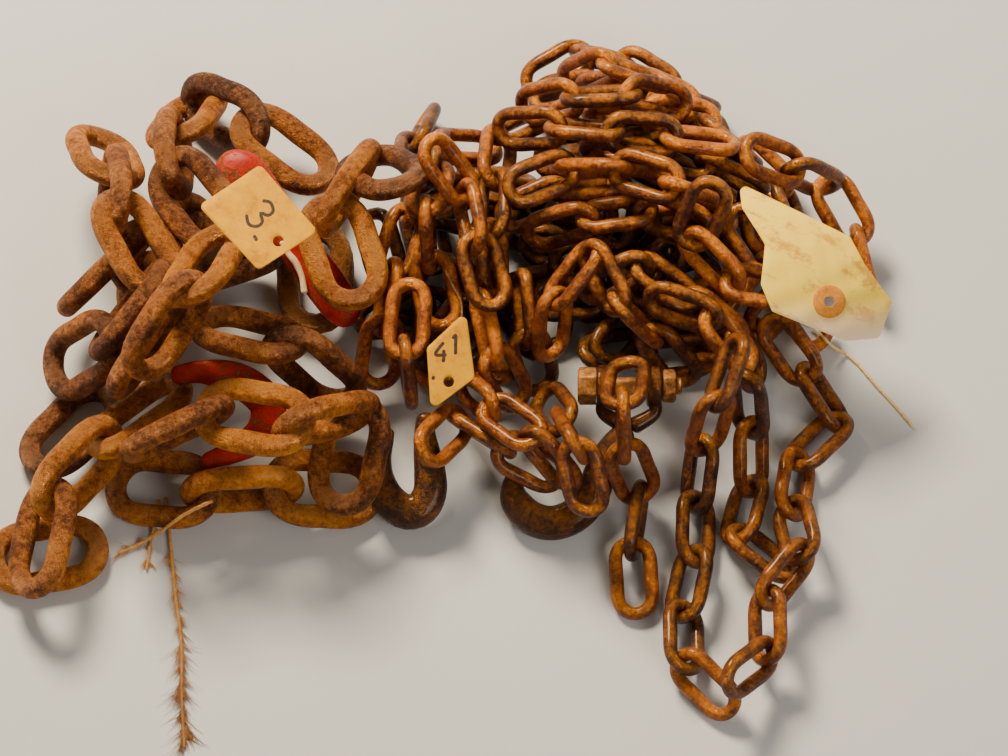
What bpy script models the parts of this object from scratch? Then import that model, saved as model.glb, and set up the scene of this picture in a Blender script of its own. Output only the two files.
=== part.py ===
"""A heap of steel lifting chain with its hooks and tags.

Units are metres, +Z is up, X runs to the right as the heap is seen and +Y runs away from the
viewer. The origin lies in the flat underside of the heap's core.

The routes of the strands are points of the photograph, in its 1008 x 756 frame. They give only where
a strand lies in the picture. Its height follows from a laying rule: strands are laid one after
another, and each is lifted towards the viewer until it clears everything laid before it.
"""
import math

import bmesh
import bpy
import numpy as np
from mathutils import Matrix, Vector
from mathutils.bvhtree import BVHTree

# Light chain, sold as 5/16 inch: the wire, and the inside of a link.
LIGHT_WIRE = 0.0080
LIGHT_INNER_LENGTH = 0.0328
LIGHT_INNER_WIDTH = 0.0116

# Heavy chain, sold as 1/2 inch.
HEAVY_WIRE = 0.0130
HEAVY_INNER_LENGTH = 0.0455
HEAVY_INNER_WIDTH = 0.0190

# Where two links of one solid bear, they sink this far into each other.
BITE = 0.0004
# Solids that touch in the real heap are this far apart.
CLEARANCE = 0.0003

# How a torus is divided into a link.
LINK_STEPS = 8
WIRE_SIDES = 6

# The steepest climb of a strand, as rise over run.
STEEPEST = 1.2
# Balls round the rim of a disc that stand for it while it is laid, how much they are grown, and their
# length.
RIM_BALLS = 16
BALL_GROWTH = 1.15
BALL_LENGTH = 0.0002
# A stiff piece is lowered from above the heap, by steps that are halved down to the last.
FIRST_STEP = 0.008
LAST_STEP = 0.0002
# Its faces then come this near to those below it.
SEAT_STEP = 0.0010
SEAT_GAP = 0.00006
# Points along a strand are this far apart while its height is worked out, and along a cord.
ROUTE_STEP = 0.003
CORD_STEP = 0.006
CURVE_STEPS = 40
# A strand first lies over all that comes this near to its wire in the picture.
TOP_REACH = 0.003
# A route is drawn out by this share of a link's inside, so that its last link fits.
SPARE_SHARE = 0.4
# A bar is tried against the floor and the core at these shares of its length.
BAR_SHARES = (0.0, 0.25, 0.5, 0.75, 1.0)
# A strand is lifted by a share of what it lacks, at least this much at a time, and so many times.
LIFT_SHARE = 0.6
SMALLEST_LIFT = 0.0004
MOST_LIFTS = 200
# Changes to a strand's roll, in degrees, that are tried when it is laid.
ROLL_CHANGES = (0, -36, -18, 18, 36)
# Neighbouring links turn against each other by a right angle, give or take this many degrees. The
# play goes up and down along the strand, by so many radians a link.
TWIST_PLAY = 9.0
TWIST_RATE = 2.3

# The picture: its scale at the heap, the point above the origin, and how steeply it looks down.
PIXELS_PER_METRE = 1750.0
PICTURE_CENTRE = (470.0, 375.0)
# From one link to the next in the picture.
LIGHT_LINK_PIXELS = 59.165687
HEAVY_LINK_PIXELS = 82.056741
VIEW_ELEVATION = math.radians(64.0)

# The core stands for the hidden links. The strands are laid over its domes, given as (x, y, half
# length, half depth, height). Inside them are plain solids, and links half sunk in those come up to
# the domes along the flanks.
CORE_DOMES = (
    (-0.140, 0.045, 0.092, 0.092, 0.048),
    (0.002, 0.060, 0.080, 0.085, 0.046),
    (0.110, 0.080, 0.098, 0.092, 0.056),
)
CORE_INSIDES = (
    (-0.132, 0.045, 0.072, 0.064, 0.040),
    (0.002, 0.060, 0.074, 0.073, 0.040),
    (0.110, 0.080, 0.086, 0.080, 0.050),
)
CORE_SIDES = 18
CORE_RINGS = 8

SIN_VIEW = math.sin(VIEW_ELEVATION)
COS_VIEW = math.cos(VIEW_ELEVATION)
# Columns: right in the picture, up in the picture, and towards the viewer.
VIEW_AXES = np.array(((1.0, 0.0, 0.0), (0.0, SIN_VIEW, -COS_VIEW), (0.0, COS_VIEW, SIN_VIEW)))
# Straight up, as the picture's axes have it.
UPWARDS = np.array((0.0, COS_VIEW, SIN_VIEW))


# Bars shorter than the root of this count as points, and with so small a spread as parallel.
SMALLEST_SQUARE = 1e-16
PARALLEL = 1e-12


class Chain:
    """The sizes of one sort of chain and the outline of its link."""

    def __init__(self, wire, inner_length, inner_width, link_pixels):
        self.wire = wire
        self.radius = wire / 2
        self.inner_length = inner_length
        middle_radius = (inner_width + wire) / 2
        # The divided ring goes round the true one, so that its legs lie at the true width.
        self.ring_radius = middle_radius / math.cos(math.pi / LINK_STEPS)
        self.leg_shift = (inner_length + wire) / 2 - middle_radius
        angles = (np.arange(LINK_STEPS) + 0.5) * 2 * math.pi / LINK_STEPS
        across = self.ring_radius * np.sin(angles)
        along = self.ring_radius * np.cos(angles)
        along += self.leg_shift * np.sign(along)
        self.outline = np.stack((along, across), axis=1)
        # The divided end bar's inner edge lies a little beyond the round one's.
        self.pitch = inner_length + 2 * self.radius * (1 - math.cos(math.pi / LINK_STEPS)) + BITE
        # A strand of longer links is drawn out from its start, and keeps its number of links.
        self.stretch = self.pitch * PIXELS_PER_METRE / link_pixels


LIGHT = Chain(LIGHT_WIRE, LIGHT_INNER_LENGTH, LIGHT_INNER_WIDTH, LIGHT_LINK_PIXELS)
HEAVY = Chain(HEAVY_WIRE, HEAVY_INNER_LENGTH, HEAVY_INNER_WIDTH, HEAVY_LINK_PIXELS)

# Rows of links on the core's flanks: which dome, the chain, how high on the dome, the roll, and between
# which two directions, from the world's X. All angles are in degrees.
FLANK_ROWS = (
    (0, HEAVY, 45, 45, 60, 250),
    (0, HEAVY, 70, 45, 40, 260),
    (1, LIGHT, 22, 45, 62, 138),
    (1, LIGHT, 48, 45, 55, 145),
    (1, LIGHT, 22, 45, 225, 305),
    (2, LIGHT, 17, 49, -95, 128),
    (2, LIGHT, 46, 50, -80, 130),
)
FLANK_STEP = 0.001

# Strands are laid in this order: name, chain, roll of the first link in degrees from lying flat,
# and the route. The hooks are lowered onto the first layer and the tags onto the second.
LOWER_STRANDS = (
    # Heavy chain at the left.
    ("heavy_foot", HEAVY, 45, ((125, 486), (200, 492), (275, 486), (345, 490))),
    ("heavy_ring", HEAVY, 20, ((180, 306), (152, 268), (122, 238), (90, 264), (60, 318))),
    ("heavy_end", HEAVY, 5, ((88, 548), (32, 558), (-30, 566))),
    ("heavy_drop", HEAVY, 60, ((96, 402), (60, 440), (20, 480))),
    ("heavy_tail", HEAVY, 70, ((172, 392), (122, 430), (72, 466), (50, 512), (40, 575))),
    # Light chain at the right: every other row of the mound.
    ("rim", LIGHT, 45, ((535, 72), (550, 50), (592, 42), (634, 54), (668, 80), (702, 92))),
    ("row_b", LIGHT, 40, ((541, 86), (590, 78), (640, 77), (680, 92), (712, 112))),
    ("row_d", LIGHT, 50, ((556, 116), (600, 108), (660, 108), (715, 118), (745, 142), (765, 168))),
    ("row_f", LIGHT, 45, ((545, 152), (600, 145), (650, 148), (700, 156), (745, 172), (775, 192))),
    ("row_h", LIGHT, 45, ((508, 214), (560, 190), (612, 182), (660, 186), (720, 215))),
    ("row_j", LIGHT, 45, ((535, 232), (590, 216), (650, 208), (690, 222))),
    ("row_k", LIGHT, 45, ((590, 290), (640, 262), (690, 300), (730, 330), (760, 380))),
    ("row_l", LIGHT, 45, ((740, 215), (770, 260), (800, 310), (840, 350))),
    # Light chain in the middle.
    ("middle_a", LIGHT, 30, ((425, 108), (411, 150), (411, 205), (392, 262), (384, 320), (376, 378))),
    ("middle_b", LIGHT, 45, ((490, 142), (445, 128), (430, 180), (425, 240), (440, 300), (445, 350))),
    ("middle_c", LIGHT, 60, ((540, 112), (504, 104), (497, 160), (490, 220), (500, 268), (480, 312))),
    ("middle_e", LIGHT, 45, ((522, 280), (527, 340), (545, 400))),
    ("middle_f", LIGHT, 45, ((410, 290), (405, 350), (410, 400))),
    ("middle_g", LIGHT, 45, ((480, 300), (490, 350), (515, 395))),
)
UPPER_STRANDS = (
    # The rows of the mound that lie on the first ones.
    ("row_a", LIGHT, 45, ((572, 74), (606, 56), (652, 66), (674, 88))),
    ("row_c", LIGHT, 45, ((528, 102), (575, 94), (620, 90), (665, 98), (705, 106))),
    ("row_e", LIGHT, 45, ((504, 126), (560, 125), (606, 130), (655, 134), (718, 140))),
    ("row_g", LIGHT, 45, ((515, 188), (560, 168), (612, 166), (660, 180), (705, 196))),
    ("shoulder", LIGHT, 45, ((752, 150), (795, 165), (835, 180), (862, 225), (878, 285))),
    ("middle_d", LIGHT, 20, ((432, 148), (462, 170), (474, 235), (488, 285))),
    ("ring", LIGHT, 20, ((712, 190), (692, 240), (662, 266), (718, 280), (775, 290))),
    ("bar", LIGHT, 45, ((655, 298), (700, 308), (738, 352))),
    ("arch", LIGHT, 90, ((550, 350), (560, 282), (602, 250), (624, 318), (668, 345), (700, 398))),
    # Strands that hang down to the floor at the front.
    ("hang_c", LIGHT, 45, ((745, 380), (752, 440), (752, 490), (735, 535), (775, 565))),
    ("hang_a", LIGHT, 10, ((735, 345), (712, 410), (700, 460), (695, 520), (692, 575), (674, 640),
                           (686, 666), (720, 697))),
    ("hang_b", LIGHT, 20, ((775, 325), (800, 368), (838, 395), (838, 440), (800, 460), (790, 520),
                           (800, 558), (765, 582), (760, 625), (762, 655), (725, 675))),
    ("hang_d", LIGHT, 45, ((628, 366), (618, 430), (632, 478), (648, 515), (628, 560), (636, 612))),
    # Heavy links on top.
    ("heavy_bars", HEAVY, 20, ((400, 182), (362, 158), (325, 190), (352, 278))),
    ("heavy_crown", HEAVY, 10, ((215, 225), (165, 165), (188, 92), (262, 128), (290, 150))),
    ("heavy_left", HEAVY, 10, ((88, 135), (115, 190), (128, 262), (160, 290), (95, 350), (15, 385))),
    ("heavy_loop", HEAVY, 10, ((212, 326), (252, 346), (300, 346), (342, 378), (326, 432))),
    ("heavy_front", HEAVY, 60, ((145, 446), (205, 410), (288, 424), (358, 412), (345, 480))),
    ("heavy_leg", HEAVY, 60, ((172, 312), (146, 350), (116, 394))),
    ("heavy_mid", HEAVY, 45, ((222, 240), (190, 300), (160, 346))),
    # Links at the hooks.
    ("hook_end_a", LIGHT, 45, ((428, 450), (476, 410), (500, 445), (546, 470))),
    ("hook_end_b", LIGHT, 45, ((462, 385), (515, 425), (556, 455), (576, 505))),
    ("hook_end_c", LIGHT, 45, ((545, 398), (574, 440), (584, 485))),
)

# Hooks are bars that swell and taper. Each row is a point of the photograph and the radius there in
# its pixels. The thickness is the share of the width that the hook has towards the viewer.
HOOK_STEPS = 16
# How finely a bar is rounded: four sides, and two more for each of these.
BAR_SIDES = 2
CORD_SIDES = 2
RUSTY_HOOK = ((426, 412, 9), (425, 432, 10.5), (427, 452, 13.5), (430, 472, 16), (430, 492, 17),
              (421, 508, 18), (404, 511, 18), (388, 498, 17), (379, 478, 15.5), (380, 458, 12),
              (386, 441, 8), (390, 428, 5))
CLEVIS_HOOK = ((630, 428, 12), (612, 448, 14), (600, 472, 16), (592, 496, 17), (575, 515, 17.5),
               (552, 523, 17.5), (530, 517, 17), (515, 500, 15), (513, 482, 10), (518, 468, 6))
RED_HOOK_UPPER = ((222, 150, 17), (236, 172, 27), (262, 206, 26), (294, 244, 20), (322, 282, 21),
                  (340, 308, 19), (347, 326, 12))
RED_HOOK_LOWER = ((172, 376, 9), (205, 372, 12), (240, 380, 17), (268, 404, 18), (263, 432, 17),
                  (232, 452, 12), (203, 462, 7))
RUSTY_THICKNESS = 0.8
RED_THICKNESS = 0.5

# The clevis at the big hook: its bolt lies along the picture's right.
BOLT_AT = (629, 386)
BOLT_RADIUS = 0.0050
BOLT_HEAD_RADIUS = 0.0108
BOLT_HEAD_LENGTH = 0.0105
BOLT_END = 0.0035
NUT_RADIUS = 0.0095
NUT_LENGTH = 0.0080
EAR_RADIUS = 0.0120
EAR_WIDTH = 0.0085
EAR_SPAN = 0.0200
# The bars of the bow are this share of an ear's width, and they bend this far below the bolt.
YOKE_SHARE = 0.47
YOKE_RADIUS = YOKE_SHARE * EAR_WIDTH
YOKE_DROP = 0.0156
EAR_SIDES = 20
BOLT_SIDES = 12
HEXAGON = 6

# Ties are bars too: they are lowered onto the heap before the tags are.
PLASTIC_TIE = ((279, 240, 2.2), (286, 252, 2.4), (294, 262, 2.6), (300, 276, 2.6), (303, 293, 3.0))
WIRE_TIE = ((445, 270, 1.3), (453, 287, 1.3), (461, 303, 1.3), (460, 330, 1.3), (452, 360, 1.3),
            (449, 380, 1.3))

# Tags: corners as points of the photograph, the hole, the thickness, how much the tag leans towards
# the viewer per metre right and up, and its bow: how strong, and which way, in degrees from right.
TAGS = (
    ("yellow_tag_upper", ((202, 208), (262, 166), (320, 233), (262, 272)), (281, 243),
     0.0012, (0.10, -0.10), 1.5, 50),
    ("yellow_tag_lower", ((466, 311), (475, 378), (431, 411), (427, 348)), (449, 382),
     0.0012, (-0.45, 0.15), -5.0, 20),
    ("paper_tag", ((740, 182), (850, 237), (864, 264), (892, 302), (880, 338), (845, 341),
                   (803, 325), (770, 312), (759, 285), (764, 245), (742, 208)), (828, 302),
     0.0008, (0.05, 0.10), -6.0, -70),
)
TAG_CORNER_RADIUS = 0.0032
CORNER_STEPS = 3
TAG_HOLE_RADIUS = 0.0030
HOLE_STEPS = 12
TAG_STRIPS = 5
# Rings of bars that stand for a tag while it is laid, as shares of the way in from its edge.
TAG_RINGS = (0.0, 0.2, 0.4, 0.6, 0.8)
# Changes to a tag's lean that are tried when it is laid.
LEAN_CHANGES = (0, -0.15, 0.15, -0.3, 0.3)
PATCH_RADIUS = 0.0095
PATCH_THICKNESS = 0.0004

# Loose cords: radius and route. They lie on the floor and over what is in their way.
CORDS = (
    ("tag_string", 0.0010, ((812, 316), (835, 344), (858, 358), (884, 388), (905, 412), (918, 428))),
    ("twine_short", 0.0011, ((157, 500), (154, 520), (150, 545), (147, 570))),
    ("twine_long", 0.0011, ((164, 498), (170, 540), (176, 590), (184, 640), (186, 690), (190, 742))),
    ("twine_across", 0.0011, ((214, 500), (186, 514), (160, 532), (136, 546), (118, 553))),
)
CORD_STEEPEST = 0.9


def in_picture(points):
    """Turn points of the photograph into metres right and up in the picture."""
    points = np.asarray(points, dtype=float)
    right = (points[:, 0] - PICTURE_CENTRE[0]) / PIXELS_PER_METRE
    up = (PICTURE_CENTRE[1] - points[:, 1]) / PIXELS_PER_METRE
    return np.stack((right, up), axis=1)


def smooth_route(points, spacing=ROUTE_STEP):
    """Points at an even distance along a Catmull-Rom curve through the route's own points."""
    ends = (2 * points[0] - points[1], 2 * points[-1] - points[-2])
    control = np.vstack((ends[0], points, ends[1]))
    pieces = []
    t = np.linspace(0, 1, CURVE_STEPS, endpoint=False)[:, None]
    for a, b, c, d in zip(control, control[1:], control[2:], control[3:]):
        pieces.append(0.5 * (2 * b + (c - a) * t + (2 * a - 5 * b + 4 * c - d) * t ** 2
                             + (3 * b - a - 3 * c + d) * t ** 3))
    dense = np.vstack(pieces + [points[-1:]])
    way = np.concatenate(([0], np.cumsum(np.linalg.norm(np.diff(dense, axis=0), axis=1))))
    even = np.linspace(0, way[-1], max(3, int(way[-1] / spacing) + 1))
    return np.stack([np.interp(even, way, dense[:, k]) for k in range(dense.shape[1])], axis=1)


def unit(vectors):
    return vectors / np.linalg.norm(vectors, axis=-1, keepdims=True)


def segment_distances(p, p_way, q, q_way):
    """The least distance between each segment p + s * p_way and each segment q + t * q_way."""
    gap = p[:, None] - q[None]
    a = np.maximum(np.sum(p_way * p_way, axis=1), SMALLEST_SQUARE)[:, None]
    e = np.maximum(np.sum(q_way * q_way, axis=1), SMALLEST_SQUARE)[None]
    b = p_way @ q_way.T
    c = np.sum(p_way[:, None] * gap, axis=2)
    f = np.sum(q_way[None] * gap, axis=2)
    spread = a * e - b * b
    askew = spread > PARALLEL * a * e
    s = np.clip(np.where(askew, (b * f - c * e) / np.where(askew, spread, 1), 0), 0, 1)
    t = np.clip((b * s + f) / e, 0, 1)
    s = np.clip((b * t - c) / a, 0, 1)
    nearest = gap + s[..., None] * p_way[:, None] - t[..., None] * q_way[None]
    return np.linalg.norm(nearest, axis=2)


class Heap:
    """What has been laid so far, as round bars along the middle of each wire."""

    def __init__(self):
        self.starts = np.zeros((0, 3))
        self.ways = np.zeros((0, 3))
        self.radii = np.zeros(0)
        self.corners = np.zeros((0, 3))
        self.faces = []

    def add_mesh(self, mesh):
        """Keep a piece's faces, in the world's axes."""
        first = len(self.corners)
        self.corners = np.vstack((self.corners, [vertex.co for vertex in mesh.vertices]))
        self.faces += [[first + at for at in face.vertices] for face in mesh.polygons]

    def seat(self, meshes):
        """Move a piece's meshes along the line of sight until they all but touch what is below.

        Returns how far towards the viewer they went, which is below nought for a piece let down.
        """
        below = BVHTree.FromPolygons(self.corners.tolist(), self.faces)
        corners = np.vstack([[vertex.co for vertex in mesh.vertices] for mesh in meshes])
        faces = []
        first = 0
        for mesh in meshes:
            faces += [[first + at for at in face.vertices] for face in mesh.polygons]
            first += len(mesh.vertices)

        def clear(lift):
            moved = corners + lift * VIEW_AXES[:, 2]
            return moved[:, 2].min() >= 0 and not BVHTree.FromPolygons(moved.tolist(), faces).overlap(below)

        lift = 0.0
        while not clear(lift):
            lift += SEAT_STEP
        step = SEAT_STEP
        while step > SEAT_GAP / 2:
            if clear(lift - step):
                lift -= step
            else:
                step /= 2
        lift += SEAT_GAP
        for mesh in meshes:
            mesh.transform(Matrix.Translation(Vector(VIEW_AXES[:, 2]) * lift))
            self.add_mesh(mesh)
        return lift

    def add(self, starts, ends, radius):
        self.starts = np.vstack((self.starts, starts))
        self.ways = np.vstack((self.ways, ends - starts))
        self.radii = np.concatenate((self.radii, np.broadcast_to(radius, len(starts))))

    def near(self, low, high, reach):
        """Which bars come within reach of a box."""
        ends = self.starts + self.ways
        above = np.all(np.maximum(self.starts, ends) > low - reach - self.radii[:, None], axis=1)
        below = np.all(np.minimum(self.starts, ends) < high + reach + self.radii[:, None], axis=1)
        return above & below

    def shortfall(self, starts, ends, radius):
        """How much the bars given lack of their clearance to the heap, floor and core."""
        worst = -1.0
        corners = np.vstack((starts, ends))
        radius = np.broadcast_to(radius, len(starts))
        near = self.near(corners.min(axis=0), corners.max(axis=0), radius.max() + CLEARANCE)
        if near.any():
            apart = segment_distances(starts, ends - starts, self.starts[near], self.ways[near])
            worst = np.max(radius[:, None] + self.radii[near][None] + CLEARANCE - apart)
        along = np.vstack([starts + share * (ends - starts) for share in BAR_SHARES])
        thick = np.tile(radius, len(BAR_SHARES))
        worst = max(worst, np.max(thick - along @ UPWARDS))
        return max(worst, np.max(core_shortfall(along, thick)))

    def top(self, route, reach):
        """How far towards the viewer the heap comes at each point of a route."""
        tops = np.full(len(route), -1.0)
        if not len(self.starts):
            return tops
        for share in BAR_SHARES:
            points = self.starts + share * self.ways
            sideways = np.linalg.norm(route[:, None] - points[None, :, :2], axis=2)
            tops = np.maximum(tops, np.max(np.where(sideways < reach, points[None, :, 2], -1.0), axis=1))
        return tops


def core_shortfall(points, radius):
    """How deep points lie inside the core's domes, grown by a wire's radius."""
    world = points @ VIEW_AXES.T
    deepest = np.full(len(points), -1.0)
    for x, y, half_length, half_depth, height in CORE_DOMES:
        room = radius + 2 * CLEARANCE
        away = np.sqrt(((world[:, 0] - x) / (half_length + room)) ** 2
                       + ((world[:, 1] - y) / (half_depth + room)) ** 2
                       + (world[:, 2] / (height + room)) ** 2)
        deepest = np.maximum(deepest, (1 - away) * height)
    return deepest


def ground(route, radius):
    """The least distance towards the viewer at which a wire clears floor and core."""
    on_floor = (radius - route[:, 1] * COS_VIEW) / SIN_VIEW
    highest = max(dome[4] for dome in CORE_DOMES) / SIN_VIEW
    result = on_floor.copy()
    for lift in np.arange(0, highest + ROUTE_STEP, ROUTE_STEP / 3):
        points = np.column_stack((route, on_floor + lift))
        inside = core_shortfall(points, radius) > 0
        result = np.where(inside, on_floor + lift, result)
    return result


def limit_slope(rise, run, steepest):
    """Raise a row of heights until none climbs faster than the steepest slope."""
    rise = rise.copy()
    for k in range(1, len(rise)):
        rise[k] = max(rise[k], rise[k - 1] - steepest * run)
    for k in range(len(rise) - 2, -1, -1):
        rise[k] = max(rise[k], rise[k + 1] - steepest * run)
    return rise


def place_links(curve, chain, roll):
    """Step along a curve, a link at a time: each link's middle, axis and width direction."""
    joint = curve[0]
    at = 0
    links = []
    while True:
        away = np.linalg.norm(curve[at:] - joint, axis=1)
        beyond = np.nonzero(away >= chain.pitch)[0]
        if not len(beyond):
            return links
        at += int(beyond[0])
        axis = unit(curve[at] - joint)
        level = unit(np.cross(UPWARDS, axis))
        steep = np.cross(axis, level)
        turn = math.radians(roll + 90 * len(links) + TWIST_PLAY * math.sin(TWIST_RATE * len(links) + roll))
        across = math.cos(turn) * level + math.sin(turn) * steep
        links.append((joint + axis * chain.pitch / 2, axis, across))
        joint = joint + axis * chain.pitch


def link_bars(chain, link):
    """The ends of the straight bars that make up a link."""
    middle, axis, across = link
    corners = middle + chain.outline[:, :1] * axis + chain.outline[:, 1:] * across
    return corners, np.roll(corners, -1, axis=0)


def lay_cord(heap, radius, route):
    """Lift a cord off what lies below it, and return the points along its middle."""
    flat = smooth_route(in_picture(route), CORD_STEP)
    run = np.linalg.norm(flat[1] - flat[0])
    towards = np.maximum(ground(flat, radius), heap.top(flat, radius + CLEARANCE))
    for attempt in range(MOST_LIFTS):
        height = limit_slope(flat[:, 1] * COS_VIEW + towards * SIN_VIEW, run, CORD_STEEPEST)
        towards = (height - flat[:, 1] * COS_VIEW) / SIN_VIEW
        curve = np.column_stack((flat, towards))
        clear = True
        for at in range(len(curve) - 1):
            missing = heap.shortfall(curve[at:at + 1], curve[at + 1:at + 2], radius)
            if missing > 0:
                clear = False
                towards[at:at + 2] += max(LIFT_SHARE * missing, SMALLEST_LIFT)
        if clear:
            break
    return curve


def own_gap(chain, links):
    """The least gap between links of a strand that aren't neighbours."""
    bars = [link_bars(chain, link) for link in links]
    gaps = [1.0]
    for at in range(len(bars)):
        for other in range(at + 2, len(bars)):
            (p, p_end), (q, q_end) = bars[at], bars[other]
            gaps.append(np.min(segment_distances(p, p_end - p, q, q_end - q)) - 2 * chain.radius)
    return min(gaps)


def settle_strand(heap, chain, roll, route):
    """Lay a strand with each of a few rolls. The ways to lie come lowest first."""
    ways = []
    for change in ROLL_CHANGES:
        links = lay_strand(heap, chain, roll + change, route)
        bars = [link_bars(chain, link) for link in links]
        stuck = max(heap.shortfall(*pair, chain.radius) for pair in bars) > 0
        crowded = own_gap(chain, links) < CLEARANCE
        height = np.mean([link[0] @ UPWARDS for link in links])
        ways.append((int(stuck) + int(crowded), height, len(ways), links))
    return [way[-1] for way in sorted(ways, key=lambda way: way[:3])]


def lay_strand(heap, chain, roll, route):
    """Lift a strand off what lies below it, and return its links."""
    places = in_picture(route)
    flat = smooth_route(places[0] + (places - places[0]) * chain.stretch)
    run = np.linalg.norm(flat[1] - flat[0])
    onward = unit(flat[-1] - flat[-2]) * run
    spare = int(SPARE_SHARE * chain.inner_length / run)
    flat = np.vstack((flat, flat[-1] + onward * np.arange(1, spare + 1)[:, None]))
    towards = np.maximum(ground(flat, chain.radius), heap.top(flat, chain.radius + TOP_REACH))
    for attempt in range(MOST_LIFTS):
        height = limit_slope(flat[:, 1] * COS_VIEW + towards * SIN_VIEW, run, STEEPEST)
        towards = (height - flat[:, 1] * COS_VIEW) / SIN_VIEW
        curve = np.column_stack((flat, towards))
        links = place_links(curve, chain, roll)
        lack = [heap.shortfall(*link_bars(chain, link), chain.radius) for link in links]
        if max(lack) <= 0:
            break
        for link, missing in zip(links, lack):
            if missing > 0:
                along = np.abs((curve - link[0]) @ link[1])
                under = along < chain.inner_length / 2 + chain.radius
                near = np.linalg.norm(curve - link[0], axis=1) < chain.inner_length
                towards = np.where(under & near, towards + max(LIFT_SHARE * missing, SMALLEST_LIFT), towards)
    return links


def rest_piece(heap, starts, ends, radii):
    """Lower a stiff piece onto the heap, and return how far towards the viewer it comes to lie."""
    over_floor = (np.max(radii) - np.min(starts[:, 1]) * COS_VIEW) / SIN_VIEW
    over_heap = np.max(heap.corners @ VIEW_AXES[:, 2]) + np.max(radii)
    lift = FIRST_STEP * math.ceil((max(over_floor, over_heap) - np.min(starts[:, 2])) / FIRST_STEP)
    step = FIRST_STEP
    while step > LAST_STEP:
        shift = np.array((0.0, 0.0, lift - step))
        if heap.shortfall(starts + shift, ends + shift, radii) <= 0:
            lift -= step
        else:
            step /= 2
    return lift


def hook_bars(rows, thickness):
    """A hook's outline as three rows of bars side by side, as thick as the hook is."""
    route = np.column_stack((in_picture([row[:2] for row in rows]),
                             [row[2] / PIXELS_PER_METRE for row in rows]))
    dense = smooth_route(route)
    even = dense[np.linspace(0, len(dense) - 1, HOOK_STEPS).round().astype(int)]
    middle = np.column_stack((even[:, :2], np.zeros(len(even))))
    way = unit(np.gradient(even[:, :2], axis=0))
    sideways = np.column_stack((-way[:, 1], way[:, 0], np.zeros(len(even))))
    radius = even[:, 2]
    starts, ends, radii = [], [], []
    for side in (-1, 0, 1):
        line = middle + side * sideways * (radius * (1 - thickness))[:, None]
        starts.append(line[:-1])
        ends.append(line[1:])
        radii.append(np.maximum(radius[:-1], radius[1:]) * thickness)
    return middle, radius, np.vstack(starts), np.vstack(ends), np.concatenate(radii)


def clear_scene():
    for thing in list(bpy.data.objects):
        bpy.data.objects.remove(thing, do_unlink=True)


def make_collection(name):
    collection = bpy.data.collections.new(name)
    bpy.context.scene.collection.children.link(collection)
    return collection


def make_material(name, colour, roughness, metallic):
    material = bpy.data.materials.new(name)
    material.use_nodes = True
    shader = material.node_tree.nodes["Principled BSDF"]
    shader.inputs["Base Color"].default_value = (*colour, 1.0)
    shader.inputs["Roughness"].default_value = roughness
    shader.inputs["Metallic"].default_value = metallic
    return material


def link_template(chain):
    """A ring drawn out into a link: its long way is X, its width Y."""
    bpy.ops.mesh.primitive_torus_add(major_segments=LINK_STEPS, minor_segments=WIRE_SIDES,
                                     major_radius=chain.ring_radius, minor_radius=chain.radius)
    ring = bpy.context.object
    mesh = ring.data
    mesh.transform(Matrix.Rotation(math.pi / LINK_STEPS, 4, "Z"))
    for vertex in mesh.vertices:
        vertex.co.x += math.copysign(chain.leg_shift, vertex.co.x)
    bpy.data.objects.remove(ring, do_unlink=True)
    return mesh


def world_matrix(link):
    """The place of a link, from the picture's axes to the world's."""
    middle, axis, across = (VIEW_AXES @ part for part in link)
    normal = np.cross(axis, across)
    matrix = Matrix((axis, across, normal)).transposed().to_4x4()
    matrix.translation = Vector(middle)
    return matrix


def links_mesh(name, template, links, material):
    """One mesh with a copy of the template at each link."""
    shape = bmesh.new()
    for link in links:
        first = len(shape.verts)
        shape.from_mesh(template)
        shape.verts.ensure_lookup_table()
        bmesh.ops.transform(shape, matrix=world_matrix(link), verts=shape.verts[first:])
    mesh = bpy.data.meshes.new(name)
    shape.to_mesh(mesh)
    shape.free()
    mesh.materials.append(material)
    return mesh


def add_object(name, mesh, collection, material):
    thing = bpy.data.objects.new(name, mesh)
    collection.objects.link(thing)
    mesh.materials.clear()
    mesh.materials.append(material)
    return thing


def hide_tool(tool):
    tool.hide_render = True
    tool.display_type = "WIRE"


def combine(target, tool, operation):
    """Fuse a hidden tool to a solid, or cut it away."""
    hide_tool(tool)
    modifier = target.modifiers.new(tool.name, "BOOLEAN")
    modifier.operation = operation
    modifier.solver = "EXACT"
    modifier.object = tool


def shell_count(thing):
    """How many separate surfaces an object has once its modifiers are applied."""
    bpy.context.view_layer.update()
    evaluated = thing.evaluated_get(bpy.context.evaluated_depsgraph_get())
    mesh = evaluated.to_mesh()
    shape = bmesh.new()
    shape.from_mesh(mesh)
    evaluated.to_mesh_clear()
    left = set(shape.verts)
    count = 0
    while left:
        count += 1
        todo = [left.pop()]
        while todo:
            for edge in todo.pop().link_edges:
                for vertex in edge.verts:
                    if vertex in left:
                        left.remove(vertex)
                        todo.append(vertex)
    shape.free()
    return count


def make_strand(heap, strand, templates, materials, parts, cutters):
    """Lay a strand and make its solid of interlinked links: the even ones are fused to the odd."""
    name, chain, roll, route = strand
    template = templates[chain]
    run = add_object(name, bpy.data.meshes.new(name), parts, materials[chain])
    others = None
    for links in settle_strand(heap, chain, roll, route):
        run.data = links_mesh(name, template, links[::2], materials[chain])
        if len(links) == 1:
            break
        if others is None:
            others = add_object(name + "_others", bpy.data.meshes.new(name), cutters, materials[chain])
            combine(run, others, "UNION")
        others.data = links_mesh(name + "_others", template, links[1::2], materials[chain])
        if shell_count(run) == 1:
            break
    meshes = [run.data]
    if others is not None:
        meshes.append(others.data)
    shift = np.array((0.0, 0.0, heap.seat(meshes)))
    for middle, axis, across in links:
        heap.add(*link_bars(chain, (middle + shift, axis, across)), chain.radius)


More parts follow.
